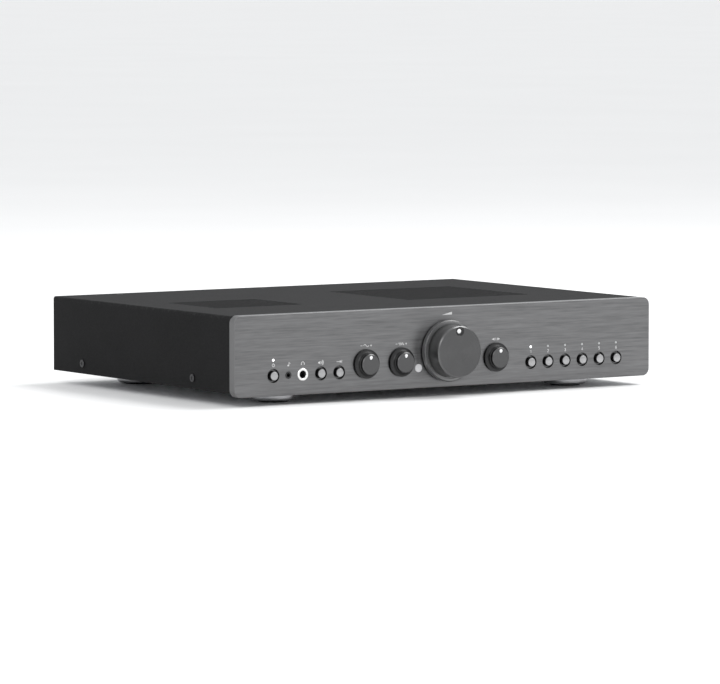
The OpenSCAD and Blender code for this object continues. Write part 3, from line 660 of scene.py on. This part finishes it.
def make_button(name):
    """A domed cap whose wall is painted shade, a darker copy of its metal, with a collar behind the plates
    and a stem.
    """
    low, high = box_mm(name)
    mid, r, proud = (low + high) / 2, BUTTON_R, FACE_Y - low.y
    plates, back, dome_h, count, bright = FACE_T + SHEET_T + LOOSE, FACE_Y - high.y, 0.9, 14, 11
    tilts = [math.pi / 2 * i / count for i in range(1, count + 1)]
    dome = [(0, proud)] + [(r * math.sin(a), proud - dome_h * (1 - math.cos(a))) for a in tilts]
    collar = [(r, -plates), (r + BUTTON_COLLAR, -plates), (r + BUTTON_COLLAR, -plates - 0.8)]
    outline = dome + collar + [(1.6, -plates - 0.8), (1.6, back), (0, back)]
    # The cap's wall takes the darker copy of the button metal: painted shade.
    materials = [int(i >= bright) for i in range(len(outline) - 1)]
    bm = bmesh.new()
    lathe(bm, outline, facing("front", mid.x, FACE_Y, mid.z), 64, materials)
    piece(f"{name}_cap", bm, ["button", "button_wall"], "button_metal", name, body=f"{name}_body")


def make_front_fittings():
    """The headphone ring, the sensor's window and the lamps."""
    bm = bmesh.new()
    ring = fillet([
        (3.2, -1.5, 0), (5.4, -1.5, 0), (5.4, 0.1, 0.2), (4.9, 0.6, 0.5), (3.7, 0.6, 0.5), (3.2, 0.1, 0.2),
        (3.2, -1.5, 0),
    ], 5)
    lathe(bm, ring, facing("front", HEADPHONE_X, FACE_Y, BUTTON_Z), 96)
    piece("headphone_bezel", bm, ["ring"], "bright_ring", "headphone_ring")

    bm = bmesh.new()
    r, depth = 3.65, FACE_T + SHEET_T + 2
    lens = fillet([(0, 0, 0), (2.2, -0.05, 1), (r, -0.3, 0.2), (r, -1, 0), (r, -depth, 0), (0, -depth, 0)], 5)
    lathe(bm, lens, facing("front", SENSOR_X, FACE_Y, BUTTON_Z), 64)
    piece("sensor_window", bm, ["sensor"], "sensor_plastic", "sensor_lens")

    bulb = [(0, 0.1), (0.5, 0.08), (0.9, 0.02), (1.06, -0.1), (1.1, -0.3), (1.1, -16.9), (0, -16.9)]
    unlit = [n for n in LAMP_NAMES if n not in LIT_NAMES]
    for group, material, chosen in (("lamps_lit", "lamp_on", LIT_NAMES), ("lamps_unlit", "lamp_off", unlit)):
        bm = bmesh.new()
        for name in chosen:
            lathe(bm, bulb, facing("front", middle(name).x, FACE_Y, LAMP_Z), 32)
        piece(group, bm, [material], "lamp_plastic", "lamp_lenses")


# ---- Printed marks ----

INK = 0.5  # usual width of a printed line


def ribbon(bm, points, place, width=INK, depth=-0.02, closed=False):
    """A printed line through points, as a thin raised strip with mitred corners."""
    points = [Vector(p) for p in points]
    count = len(points)
    stretches = [(b - a).normalized() for a, b in zip(points, points[1:] + points[:1])]
    rows = []
    for i, p in enumerate(points):
        before = stretches[i - 1] if closed or i else stretches[i]
        after = stretches[i] if closed or i < count - 1 else stretches[i - 1]
        along = (before + after).normalized()
        side = Vector((-along.y, along.x)) * width / 2 / max(0.6, along.dot(after))
        edges = [(p + side, depth), (p - side, depth), (p - side, 0.0), (p + side, 0.0)]
        rows.append([bm.verts.new(place(q.x, q.y, d)) for q, d in edges])
    pairs = list(zip(rows, rows[1:])) + ([(rows[-1], rows[0])] if closed else [])
    for first, second in pairs:
        stitch(bm, first, second)
    if not closed:
        bm.faces.new(rows[0])
        bm.faces.new(rows[-1])


def solid_mark(bm, points, place, depth=-0.02):
    """A printed patch, as a thin raised solid."""
    top = [bm.verts.new(place(u, v, depth)) for u, v in points]
    bottom = [bm.verts.new(place(u, v, 0.0)) for u, v in points]
    stitch(bm, top, bottom)
    fill(bm, [top])
    fill(bm, [bottom])


def arc(x, y, r, start, end, count=16):
    """Points along an arc, in degrees."""
    angles = [math.radians(start + (end - start) * i / count) for i in range(count + 1)]
    return [(x + r * math.cos(a), y + r * math.sin(a)) for a in angles]


def wave(x, y, length, height, turns, count=40):
    """Points along a sine wave, centred."""
    spots = [i / count for i in range(count + 1)]
    return [(x + (s - 0.5) * length, y + height * math.sin(2 * math.pi * turns * s)) for s in spots]


# Each figure from 1 to 6 is drawn with strokes on a grid 2 wide and 4 high.
FIGURES = [
    [[(0.4, 3.3), (1.2, 4), (1.2, 0)]],
    [[(0, 3.2), (0.3, 3.8), (1, 4), (1.7, 3.8), (2, 3.1), (1.8, 2.4), (0, 0), (2, 0)]],
    [[(0, 4), (2, 4), (0.9, 2.5), (1.6, 2.3), (2, 1.7), (2, 0.8), (1.6, 0.2), (1, 0), (0.4, 0.1), (0, 0.6)]],
    [[(1.5, 0), (1.5, 4), (0, 1.2), (1.3, 1.2)], [(1.7, 1.2), (2.1, 1.2)]],
    [[(1.9, 4), (0.2, 4), (0.1, 2.2), (0.9, 2.5), (1.6, 2.3), (2, 1.6), (1.9, 0.7), (1.4, 0.1), (0.7, 0),
      (0, 0.4)]],
    [[(1.7, 4), (0.9, 3.6), (0.2, 2.4), (0, 1.3), (0.3, 0.3), (1, 0), (1.7, 0.3), (2, 1.2), (1.7, 2.1),
      (1, 2.4), (0.4, 2)]],
]


def figure(bm, number, x, y, height, place):
    """The figure for a number from 1 to 6, centred on x and y."""
    step = height / 4
    for stroke in FIGURES[number - 1]:
        ribbon(bm, [(x + (u - 1) * step, y + (v - 2) * step) for u, v in stroke], place, height * 0.17)


def speaker_mark(bm, x, y, place):
    """A small loudspeaker with sound waves."""
    outline = [(-2.9, -0.6), (-1.9, -0.6), (-0.7, -1.5), (-0.7, 1.5), (-1.9, 0.6), (-2.9, 0.6)]
    solid_mark(bm, [(x + u, y + v) for u, v in outline], place)
    for r in (1.2, 2.2, 3.2):
        ribbon(bm, arc(x - 0.8, y, r, -42, 42, 10), place)


def sign(bm, x, y, plus, place):
    """A plus or minus sign."""
    ribbon(bm, [(x - 0.9, y), (x + 0.9, y)], place)
    if plus:
        for way in (-1, 1):
            ribbon(bm, [(x, y + way * INK / 2), (x, y + way * 0.9)], place)


def make_front_marks():
    """Pictograms over the controls, and figures over the source buttons."""
    bm = bmesh.new()
    mark_z = BUTTON_Z + 9.2
    power_x = middle(BUTTON_NAMES[0]).x
    ribbon(bm, arc(power_x, mark_z - 0.2, 1.25, 125, 415, 24), on_front)
    ribbon(bm, [(power_x, mark_z), (power_x, mark_z + 1.5)], on_front)

    note = [(AUX_X + 0.5, mark_z - 1), (AUX_X + 0.5, mark_z + 1.4), (AUX_X + 1.9, mark_z + 0.6)]
    ribbon(bm, note, on_front)
    solid_mark(bm, arc(AUX_X - 0.2, mark_z - 1, 0.8, 0, 340, 16), on_front)

    ribbon(bm, arc(HEADPHONE_X, mark_z, 1.5, 0, 180, 16), on_front)
    for side in (-1, 1):
        x = HEADPHONE_X + side * 1.45
        ribbon(bm, [(x, mark_z + 0.1), (x, mark_z - 1)], on_front, 0.9)

    speaker_mark(bm, middle(BUTTON_NAMES[1]).x, mark_z, on_front)
    direct_x = middle(BUTTON_NAMES[2]).x
    ribbon(bm, [(direct_x - 2.6, mark_z), (direct_x + 0.8, mark_z)], on_front)
    head = [(direct_x + 0.6, mark_z - 1.2), (direct_x + 2.2, mark_z), (direct_x + 0.6, mark_z + 1.2)]
    solid_mark(bm, head, on_front)
    ribbon(bm, [(direct_x + 2.6, mark_z - 1.3), (direct_x + 2.6, mark_z + 1.3)], on_front)

    tone_z = middle("bass_knob").z + 15.6
    for name, turns in (("bass_knob", 1), ("treble_knob", 3)):
        x = middle(name).x
        ribbon(bm, wave(x, tone_z, 5.4, 1.0, turns, 60), on_front)
        sign(bm, x - 4.9, tone_z, False, on_front)
        sign(bm, x + 4.9, tone_z, True, on_front)
    balance_x = middle("balance_knob").x
    ribbon(bm, [(balance_x, tone_z - 1.2), (balance_x, tone_z + 1.2)], on_front)
    for side in (-1, 1):
        near, far = balance_x + side * 1.5, balance_x + side * 4.4
        solid_mark(bm, [(near, tone_z + 1.2), (far, tone_z), (near, tone_z - 1.2)], on_front)
    left, right, foot = VOLUME_MID.x - 5.2, VOLUME_MID.x + 5.2, VOLUME_MID.z + 30.85
    solid_mark(bm, [(left, foot), (right, foot), (right, foot + 2.35)], on_front)

    for number, name in enumerate(SOURCE_NAMES, 1):
        figure(bm, number, middle(name).x, mark_z, 2.4, on_front)
    piece("front_marks", bm, ["print"], None, sharp=60)


def make_rear_marks():
    """Figures over the sockets, and signs over the speaker posts."""
    def mirrored(u, v, depth):
        return on_rear(-u, v, depth)
    bm = bmesh.new()
    for number, x in enumerate(SOCKET_XS, 1):
        figure(bm, number, -x, SOCKET_ROWS[1] + 9.4, 3, mirrored)
    for i, x in enumerate(POST_XS):
        sign(bm, -x, REAR_Z + 12.5, i % 2 == 0, mirrored)
    for i in (0, 2):
        mid = -(POST_XS[i] + POST_XS[i + 1]) / 2
        ribbon(bm, round_rect(mid, REAR_Z + 1.5, 38, 32, 3, 6)(), mirrored, 0.35, closed=True)
    piece("rear_marks", bm, ["print"], None, sharp=60)


# ---- Case ----

def make_cover():
    """A folded sheet: a vented top, round bends and two sides."""
    low, high = COVER_LOW, COVER_HIGH
    bend, t = 2.4, SHEET_T
    flat_x, flat_z = high.x - bend, high.z - bend
    rim = [(-1, 0), (0, 0), (0, t)]
    bore = [(1, 0), (0, 0), (0, t)]
    vent = [(1, 0), (0.25, 0), (0.06, 0.06), (0, 0.25), (0, t)]
    sunk = [(2, 0), (1.3, 0), (1.2, 0.05), (0, t)]
    holes = []
    for centre, count, length in ((SINK_VENT, 16, 130), (middle("transformer"), 10, 90)):
        for i in range(count):
            y = centre.y + (i - (count - 1) / 2) * 8
            holes.append((round_rect(centre.x, y, length, 3.6, 1.79, 6), vent, 0))
    for x in (-150, 0, 150):
        holes.append((circle(x, PANEL_HIGH.y - SHEET_T - 6, SCREW_R, 24), sunk, 0))

    bm = bmesh.new()
    top = rectangle((-flat_x, low.y), (flat_x, high.y))
    plate(bm, (top, rim, 0), holes, lambda u, v, depth: Vector((u, v, high.z - depth)) * MM)
    flank = rectangle((low.y, low.z), (high.y, flat_z))
    screws = [(circle(y, low.z + 9, SCREW_R, 24), bore, 0) for y in (low.y + 60, PANEL_HIGH.y - 50)]
    for side in (-1, 1):
        plate(bm, (flank, rim, 0), screws, lambda u, v, depth: Vector((side * (high.x - depth), u, v)) * MM)
        fold(bm, side, flat_x, flat_z, (low.y, high.y), (bend, bend - t))
    seams = [
        f for f in bm.faces
        if all(abs(abs(v.co.x) - flat_x * MM) < TOUCH for v in f.verts)
        or all(abs(v.co.z - flat_z * MM) < TOUCH for v in f.verts)
    ]
    bmesh.ops.delete(bm, geom=seams, context="FACES")
    bmesh.ops.remove_doubles(bm, verts=bm.verts, dist=TOUCH)
    piece("cover_shell", bm, ["cover"], "cover_paint", "top_cover")


def fold(bm, side, x, z, ends, radii, steps=8):
    """A quarter bend along Y between a top sheet and a side sheet, open where it meets them."""
    loops = []
    for y in ends:
        for radius in radii:
            turn = [math.pi / 2 * i / steps for i in range(steps + 1)]
            loops.append([
                bm.verts.new(Vector((side * (x + radius * math.sin(a)), y, z + radius * math.cos(a))) * MM)
                for a in turn
            ])
    for first, second in ((0, 2), (1, 3), (0, 1), (2, 3)):
        for i in range(steps):
            bm.faces.new((loops[first][i], loops[first][i + 1], loops[second][i + 1], loops[second][i]))


def make_rear_panel():
    """The back sheet, with the holes of its sockets, and its folded lip."""
    low, high = PANEL_LOW, PANEL_HIGH
    inlet, rocker = middle("mains_inlet"), middle("rocker_frame")
    rim = [(0.12, 0), (0, 0.12), (0, SHEET_T)]
    edge = [(-0.15, 0), (0, 0.15), (0, SHEET_T)]
    holes = [(circle(x, REAR_Z, 4, 32), rim, 0) for x in POST_XS]
    holes += [(circle(x, z, 4.3, 32), rim, 0) for x in SOCKET_XS for z in SOCKET_ROWS]
    holes += [
        (round_rect(inlet.x, REAR_Z, 28.2, 20.6, 1, 4), rim, 0),
        (round_rect(rocker.x, REAR_Z, 15.6, 21.8, 0.5, 4), rim, 0),
    ]
    holes += [(circle(inlet.x + s * INLET_SCREW_X, REAR_Z, SCREW_R, 24), rim, 0) for s in (-1, 1)]
    outline = round_rect((low.x + high.x) / 2, (low.z + high.z) / 2, high.x - low.x, high.z - low.z, 0.4, 3)
    bm = bmesh.new()
    plate(bm, (outline, edge, 0), holes, on_rear)
    block(bm, (low.x, low.y, high.z - SHEET_T), (high.x, high.y - SHEET_T, high.z), 0.1)
    piece("back_panel", bm, ["panel"], "rear_paint", "rear_panel")


def make_feet():
    """Turned feet with a groove, and their rubber pads."""
    low, high = box_mm("feet")
    r = 19
    centres = [(x, y) for x in (low.x + r, high.x - r) for y in (low.y + r, high.y - r)]
    top = high.z - low.z
    body = fillet([
        (2.2, 5, 0), (4, 5, 0.2), (4, 2, 0.1), (14.1, 2, 0.1), (14.1, 0, 0.2), (r - 1.4, 0, 0.4),
        (r - 0.1, 1.3, 0.5), (r, 2.6, 0.3), (r, 5.2, 0.2), (r - 0.7, 5.4, 0.1), (r - 0.7, 6, 0.1),
        (r, 6.2, 0.2), (r, top - 2.2, 0.3), (r - 0.6, top - 1.6, 0.2), (r - 0.6, top, 0.1), (2.2, top, 0),
        (2.2, 5, 0),
    ], 4)
    pad = fillet([
        (4.4, 0, 0), (12.6, 0, 0.3), (13.9, 0.9, 0.5), (14, 3.5, 0.1), (4, 3.5, 0.1), (4, 0.5, 0.2),
        (4.4, 0, 0),
    ], 4)
    for name, outline, base, material, slot, replaced in (
        ("turned_feet", body, low.z, "foot_metal", "foot_metal", "feet"),
        ("rubber_pads", pad, 0.0, "rubber", "pad_rubber", "foot_pads"),
    ):
        bm = bmesh.new()
        for x, y in centres:
            lathe(bm, outline, facing("up", x, y, base), 96)
        piece(name, bm, [material], slot, replaced)


# ---- Rear terminals ----

def make_sockets():
    """Gold barrels with a round washer on the panel, and coloured cores."""
    reach, r = SOCKET_HIGH.y - PANEL_HIGH.y, SOCKET_R
    bm = bmesh.new()
    barrel = fillet([
        (r - 0.9, 0.2, 0), (r - 0.9, reach, 0.1), (r - 0.25, reach, 0.15), (r, reach - 0.6, 0.3),
        (r, -0.1, 0), (r - 0.25, -0.1, 0), (r - 0.25, -13.5, 0), (r - 0.9, -13.5, 0), (r - 0.9, 0.2, 0),
    ], 3)
    tube = fillet([
        (1.65, 0.5, 0), (1.65, reach - 0.2, 0.1), (2.1, reach - 0.2, 0.1), (2.1, 0.5, 0), (1.65, 0.5, 0),
    ], 2)
    washer = fillet([
        (r + 0.02, 0.01, 0), (5.9, 0.01, 0), (5.9, 0.5, 0.2), (r + 0.02, 0.5, 0), (r + 0.02, 0.01, 0),
    ], 3)
    for x in SOCKET_XS:
        for z in SOCKET_ROWS:
            place = facing("back", x, PANEL_HIGH.y, z)
            lathe(bm, barrel, place, 48)
            lathe(bm, tube, place, 32)
            lathe(bm, washer, place, 48)
    piece("socket_barrels", bm, ["gold"], "gold_contact", "phono_sockets")
    core = fillet([
        (2.12, 0.3, 0), (2.12, reach - 0.7, 0.15), (r - 0.92, reach - 0.9, 0.2), (r - 0.92, 0.3, 0),
        (2.12, 0.3, 0),
    ], 3)
    for row, material, z in (("upper", "white", SOCKET_ROWS[1]), ("lower", "red", SOCKET_ROWS[0])):
        bm = bmesh.new()
        for x in SOCKET_XS:
            lathe(bm, core, facing("back", x, PANEL_HIGH.y, z), 32)
        piece(f"{row}_socket_cores", bm, [material], None)


def make_inlet():
    """The mains inlet: a flange, a deep cavity with cut corners, and three blades."""
    low, high = box_mm("mains_inlet")
    mid = (low + high) / 2
    proud, deep, back = high.y - PANEL_HIGH.y, 17, 22.5

    def place(u, v, depth):
        return Vector((mid.x + u, high.y - depth, REAR_Z + v)) * MM

    def cavity(grow=0.0):
        w, h, cut = 12.2 + grow, 8.4 + grow, 4.6
        return [(-w, -h), (w, -h), (w, h - cut), (w - cut, h), (-w + cut, h), (-w, h - cut)]

    flange = [(-0.7, 0), (-0.25, 0.15), (0, 0.6), (0, proud)]
    holes = [(cavity, [(0.5, 0), (0.12, 0.15), (0, 0.5), (0, deep)], 0, "blind")]
    rim = [(0.1, 0), (0, 0.1), (0, proud)]
    holes += [(circle(s * INLET_SCREW_X, 0, SCREW_R, 24), rim, 0) for s in (-1, 1)]
    bm = bmesh.new()
    outline = round_rect(0, 0, 27.6, 20, 0.6, 3)()
    shroud = [[bm.verts.new(place(u, v, depth)) for u, v in outline] for depth in (proud, back)]
    stitch(bm, *shroud)
    fill(bm, [shroud[1]])
    plate(bm, (round_rect(0, 0, 48, 24, 3), flange, 0), holes, place, [shroud[0]])
    piece("inlet_shell", bm, ["moulding"], "inlet_plastic", "mains_inlet", sharp=28)
    bm = bmesh.new()
    for side, z in ((-1, REAR_Z - 2), (1, REAR_Z - 2), (0, REAR_Z + 2)):
        x = mid.x + side * 7
        block(bm, (x - 1, high.y - deep + 0.02, z - 1.9), (x + 1, high.y - 6, z + 1.9), 0.4)
        block(bm, (x - 2.4, low.y, REAR_Z - 0.4), (x + 2.4, high.y - back - 0.02, REAR_Z + 0.4), 0.15)
    piece("inlet_blades", bm, ["screw"], None)


def make_rocker():
    """The mains switch: its CAD nodes get soft edges, and its rocker two printed marks."""
    for name, width in (("rocker_frame", 0.35), ("power_rocker", 0.45)):
        soften(name, width)
    pivot = Vector((middle("rocker_frame").x, PANEL_HIGH.y - 2, REAR_Z))
    tilt = math.radians(8)

    def on_half(side):
        def place(u, v, depth):
            along, out = v * side, 4.2 + abs(v) * math.tan(tilt) - depth
            y = out * math.cos(tilt) + along * math.sin(tilt)
            z = along * math.cos(tilt) - out * math.sin(tilt)
            return Vector((pivot.x - u, pivot.y + y, pivot.z + z)) * MM
        return place

    bm = bmesh.new()
    ribbon(bm, [(0, 3.4), (0, 5.8)], on_half(1), 0.55, -0.015)
    ribbon(bm, arc(0, 4.6, 1.3, 0, 345, 23), on_half(-1), 0.45, -0.015, closed=True)
    piece("rocker_marks", bm, ["print"], None, body="power_rocker_body", sharp=60)


def make_post_bases():
    """Moulded collars that hold the posts in the panel."""
    collar = fillet([
        (3.05, -3.2, 0), (3.9, -3.2, 0), (3.9, 0, 0), (7.6, 0.01, 0), (7.6, 1.6, 0.2), (7.1, 1.9, 0.15),
        (7.1, 2.3, 0.15), (7.6, 2.6, 0.2), (7.6, 4.2, 0.5), (6.8, 5, 0.4), (3.05, 5, 0.2), (3.05, -3.2, 0),
    ], 4)
    bm = bmesh.new()
    for x in POST_XS:
        lathe(bm, collar, facing("back", x, PANEL_HIGH.y, REAR_Z), 64)
    piece("post_bases", bm, ["moulding"], "inlet_plastic", "post_collars")


def make_post_threads():
    """Threaded barrels with a bore for a plug, and the nuts behind the panel."""
    start = PANEL_HIGH.y
    tip = box_mm("post_barrels")[1].y - start
    thread = [(0, tip - 18), (2.05, tip - 18), (2.05, tip - 0.3), (2.35, tip), (2.75, tip)]
    for i in range(17):
        h = tip - 0.6 - i
        thread += [(3, h), (3, h - 0.15), (2.62, h - 0.5), (2.62, h - 0.65)]
    thread += [(3, 5.4), (3, -14), (0, -14)]
    nut = fillet([(3.02, -6, 0), (5, -6, 0.3), (5, -3.6, 0.3), (3.02, -3.6, 0), (3.02, -6, 0)], 2)
    bm = bmesh.new()
    for x in POST_XS:
        lathe(bm, thread, facing("back", x, start, REAR_Z), 48)
        lathe(bm, nut, facing("back", x, start, REAR_Z), 6)
    piece("post_threads", bm, ["gold"], "gold_contact", "post_barrels")


def make_post_washer(i):
    """The washer that a cap presses on."""
    low, high = box_mm(f"clamp_washer_{i}")
    t, r = high.y - low.y, (high.x - low.x) / 2
    ring = fillet([(3.06, 0, 0), (r, 0, 0.3), (r, t, 0.3), (3.06, t, 0.1), (3.06, 0, 0)], 4)
    bm = bmesh.new()
    lathe(bm, ring, facing("back", POST_XS[i - 1], low.y, REAR_Z), 64)
    node_name = f"clamp_washer_{i}"
    piece(f"post_washer_{i}", bm, ["gold"], "gold_contact", node_name, body=f"{node_name}_body")


def make_post_cap(i):
    """A fluted cap with a smooth collar, open at its end."""
    low, high = box_mm(f"post_cap_{i}")
    length, r = high.y - low.y, 6.8
    foot, head = 1.2, length - 5.2

    def fluted(angle, h):
        if not foot < h < head:
            return 0.0
        ease = min(1, (h - foot) / 0.6, (head - h) / 0.6)
        return -0.55 * ease * max(0.0, math.cos(16 * angle)) ** 0.7

    outline = fillet([
        (3.1, 0, 0), (r - 0.5, 0, 0.2), (r, 0.6, 0.3), (r, length - 5, 0.2), (r - 0.9, length - 4.2, 0.3),
        (r - 0.9, length - 0.8, 0.4), (r - 1.7, length, 0.3), (4.2, length, 0.2), (3.6, length - 0.7, 0.1),
        (3.1, length - 0.9, 0.1), (3.1, 0, 0),
    ], 4)
    start = next(k for k, p in enumerate(outline) if p[1] > foot)
    grip = [(r, foot + 0.01 + (head - foot - 0.02) * k / 24) for k in range(25)]
    rest = [p for p in outline[start:] if p[0] < r - 0.01 or p[1] > head]
    bm = bmesh.new()
    place = facing("back", POST_XS[i - 1], low.y, REAR_Z)
    lathe(bm, outline[:start] + grip + rest, place, 192, swell=fluted)
    colour = "cap_red" if i % 2 else "cap_black"
    piece(f"post_knob_{i}", bm, [colour], colour, f"post_cap_{i}", body=f"post_cap_{i}_body", sharp=40)


# ---- CAD nodes that are shown as they are ----

def soften(name, width, segments=2):
    """Rounds a CAD node's edges with a modifier, which leaves its mesh alone."""
    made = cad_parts[name]
    bevel = made.modifiers.new("soft_edges", "BEVEL")
    bevel.width, bevel.segments, bevel.limit_method = width * MM, segments, "ANGLE"
    bevel.angle_limit = math.radians(40)


def dress_cad_nodes():
    """Gives every CAD node that stays its material, and rounds the edges of those that can be seen into."""
    chosen = {
        "zinc": ["base_tray", "inner_front_plate"],
        "black_screw": ["cover_screws"],
        "screw": ["chassis_screws", "transformer_clamp"],
        "jack": ["headphone_jack", "aux_jack"],
        "can": ["volume_control", "tone_controls"],
        "board": ["control_board", "main_board", "input_board"],
        "epoxy": ["key_switches", "output_transistors"],
        "brass": ["board_standoffs"],
        "winding": ["transformer"],
        "heatsink": ["heatsink"],
        "sleeve": ["smoothing_capacitors"],
        "relay": ["speaker_relay"],
        "moulding": ["rocker_frame"],
        "ribbon": ["ribbon_cable"],
        "lead": ["power_leads"],
        "shaft": ["volume_shaft", *(f"{n}_shaft" for n in TONE_NAMES)],
        "rocker": ["power_rocker"],
    }
    for material, names in chosen.items():
        for name in names:
            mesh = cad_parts[name].data
            mesh.materials.clear()
            mesh.materials.append(MATERIALS[material])
    for name, width in (("speaker_relay", 0.8), ("output_transistors", 0.3), ("key_switches", 0.2),
                        ("volume_control", 0.4), ("heatsink", 0.2)):
        soften(name, width)


# ---- Studio ----

def make_floor():
    """A wide pale floor with a faint plaster grain."""
    bm = bmesh.new()
    rings = [0.0, 0.6, 1.5, 4.0, 12.0, 40.0]
    lathe(bm, [(r / MM, 0.0) for r in rings], facing("up", 0, 0, -0.05), 96)
    material, tree, made = shader("floor_plaster")
    tone = colours(tree, noise(tree, 2.5, 4.0), *shades((0.9, 0.9, 0.9), 0.983, 1))
    feed(tree, made, Base_Color=tone, Roughness=spread(tree, noise(tree, 400), 0.55, 0.7))
    solid("floor", bm, [material])


def aim(made, target):
    """Points an object's -Z at a target, with its top up."""
    made.rotation_mode = "QUATERNION"
    made.rotation_quaternion = (Vector(target) - made.location).to_track_quat("-Z", "Y")


def make_light(name, place, target, size, power):
    """A soft rectangular light."""
    data = bpy.data.lights.new(name, "AREA")
    data.shape, data.size, data.size_y, data.energy = "RECTANGLE", *size, power
    made = placed(name, data)
    made.location = place
    aim(made, target)


def make_studio():
    """An even pale surround, with soft lights for the highlights."""
    bpy.context.scene.view_settings.view_transform = "Standard"
    world = bpy.data.worlds.new("studio")
    world.use_nodes = True
    background = world.node_tree.nodes["Background"]
    feed(world.node_tree, background, Color=(0.98, 0.99, 1, 1), Strength=0.95)
    bpy.context.scene.world = world
    heart = (0, 0, 0.04)
    make_light("key", (-2.2, -1.2, 1.8), heart, (1.2, 1.0), 17)
    make_light("spark", (1.3, -1.65, 1.15), heart, (0.4, 0.4), 2)
    make_light("top", (1.2, -0.05, 1.85), heart, (1.3, 1.3), 34)


def make_camera():
    """The camera stands to the left of the front and a little above it, with a long lens."""
    azimuth, elevation, distance = math.radians(-33.4), math.radians(4.4), 4.9
    target = Vector((0.012, 0.0, 0.036))
    data = bpy.data.cameras.new("camera")
    data.lens, data.sensor_width = 278, 36
    data.clip_start, data.clip_end = 0.1, 100
    made = placed("camera", data)
    flat = math.cos(elevation)
    towards = Vector((math.sin(azimuth) * flat, -math.cos(azimuth) * flat, math.sin(elevation)))
    made.location = target + towards * distance
    aim(made, target)
    bpy.context.scene.camera = made


make_camera()
make_studio()
make_floor()
make_fascia()
make_volume_knob()
for tone in TONE_NAMES:
    make_tone_knob(tone)
for button in BUTTON_NAMES + SOURCE_NAMES:
    make_button(button)
make_front_fittings()
make_front_marks()
make_cover()
make_rear_panel()
make_rear_marks()
make_feet()
make_sockets()
make_inlet()
make_post_bases()
make_post_threads()
for post in range(1, 5):
    make_post_washer(post)
    make_post_cap(post)
dress_cad_nodes()
make_rocker()
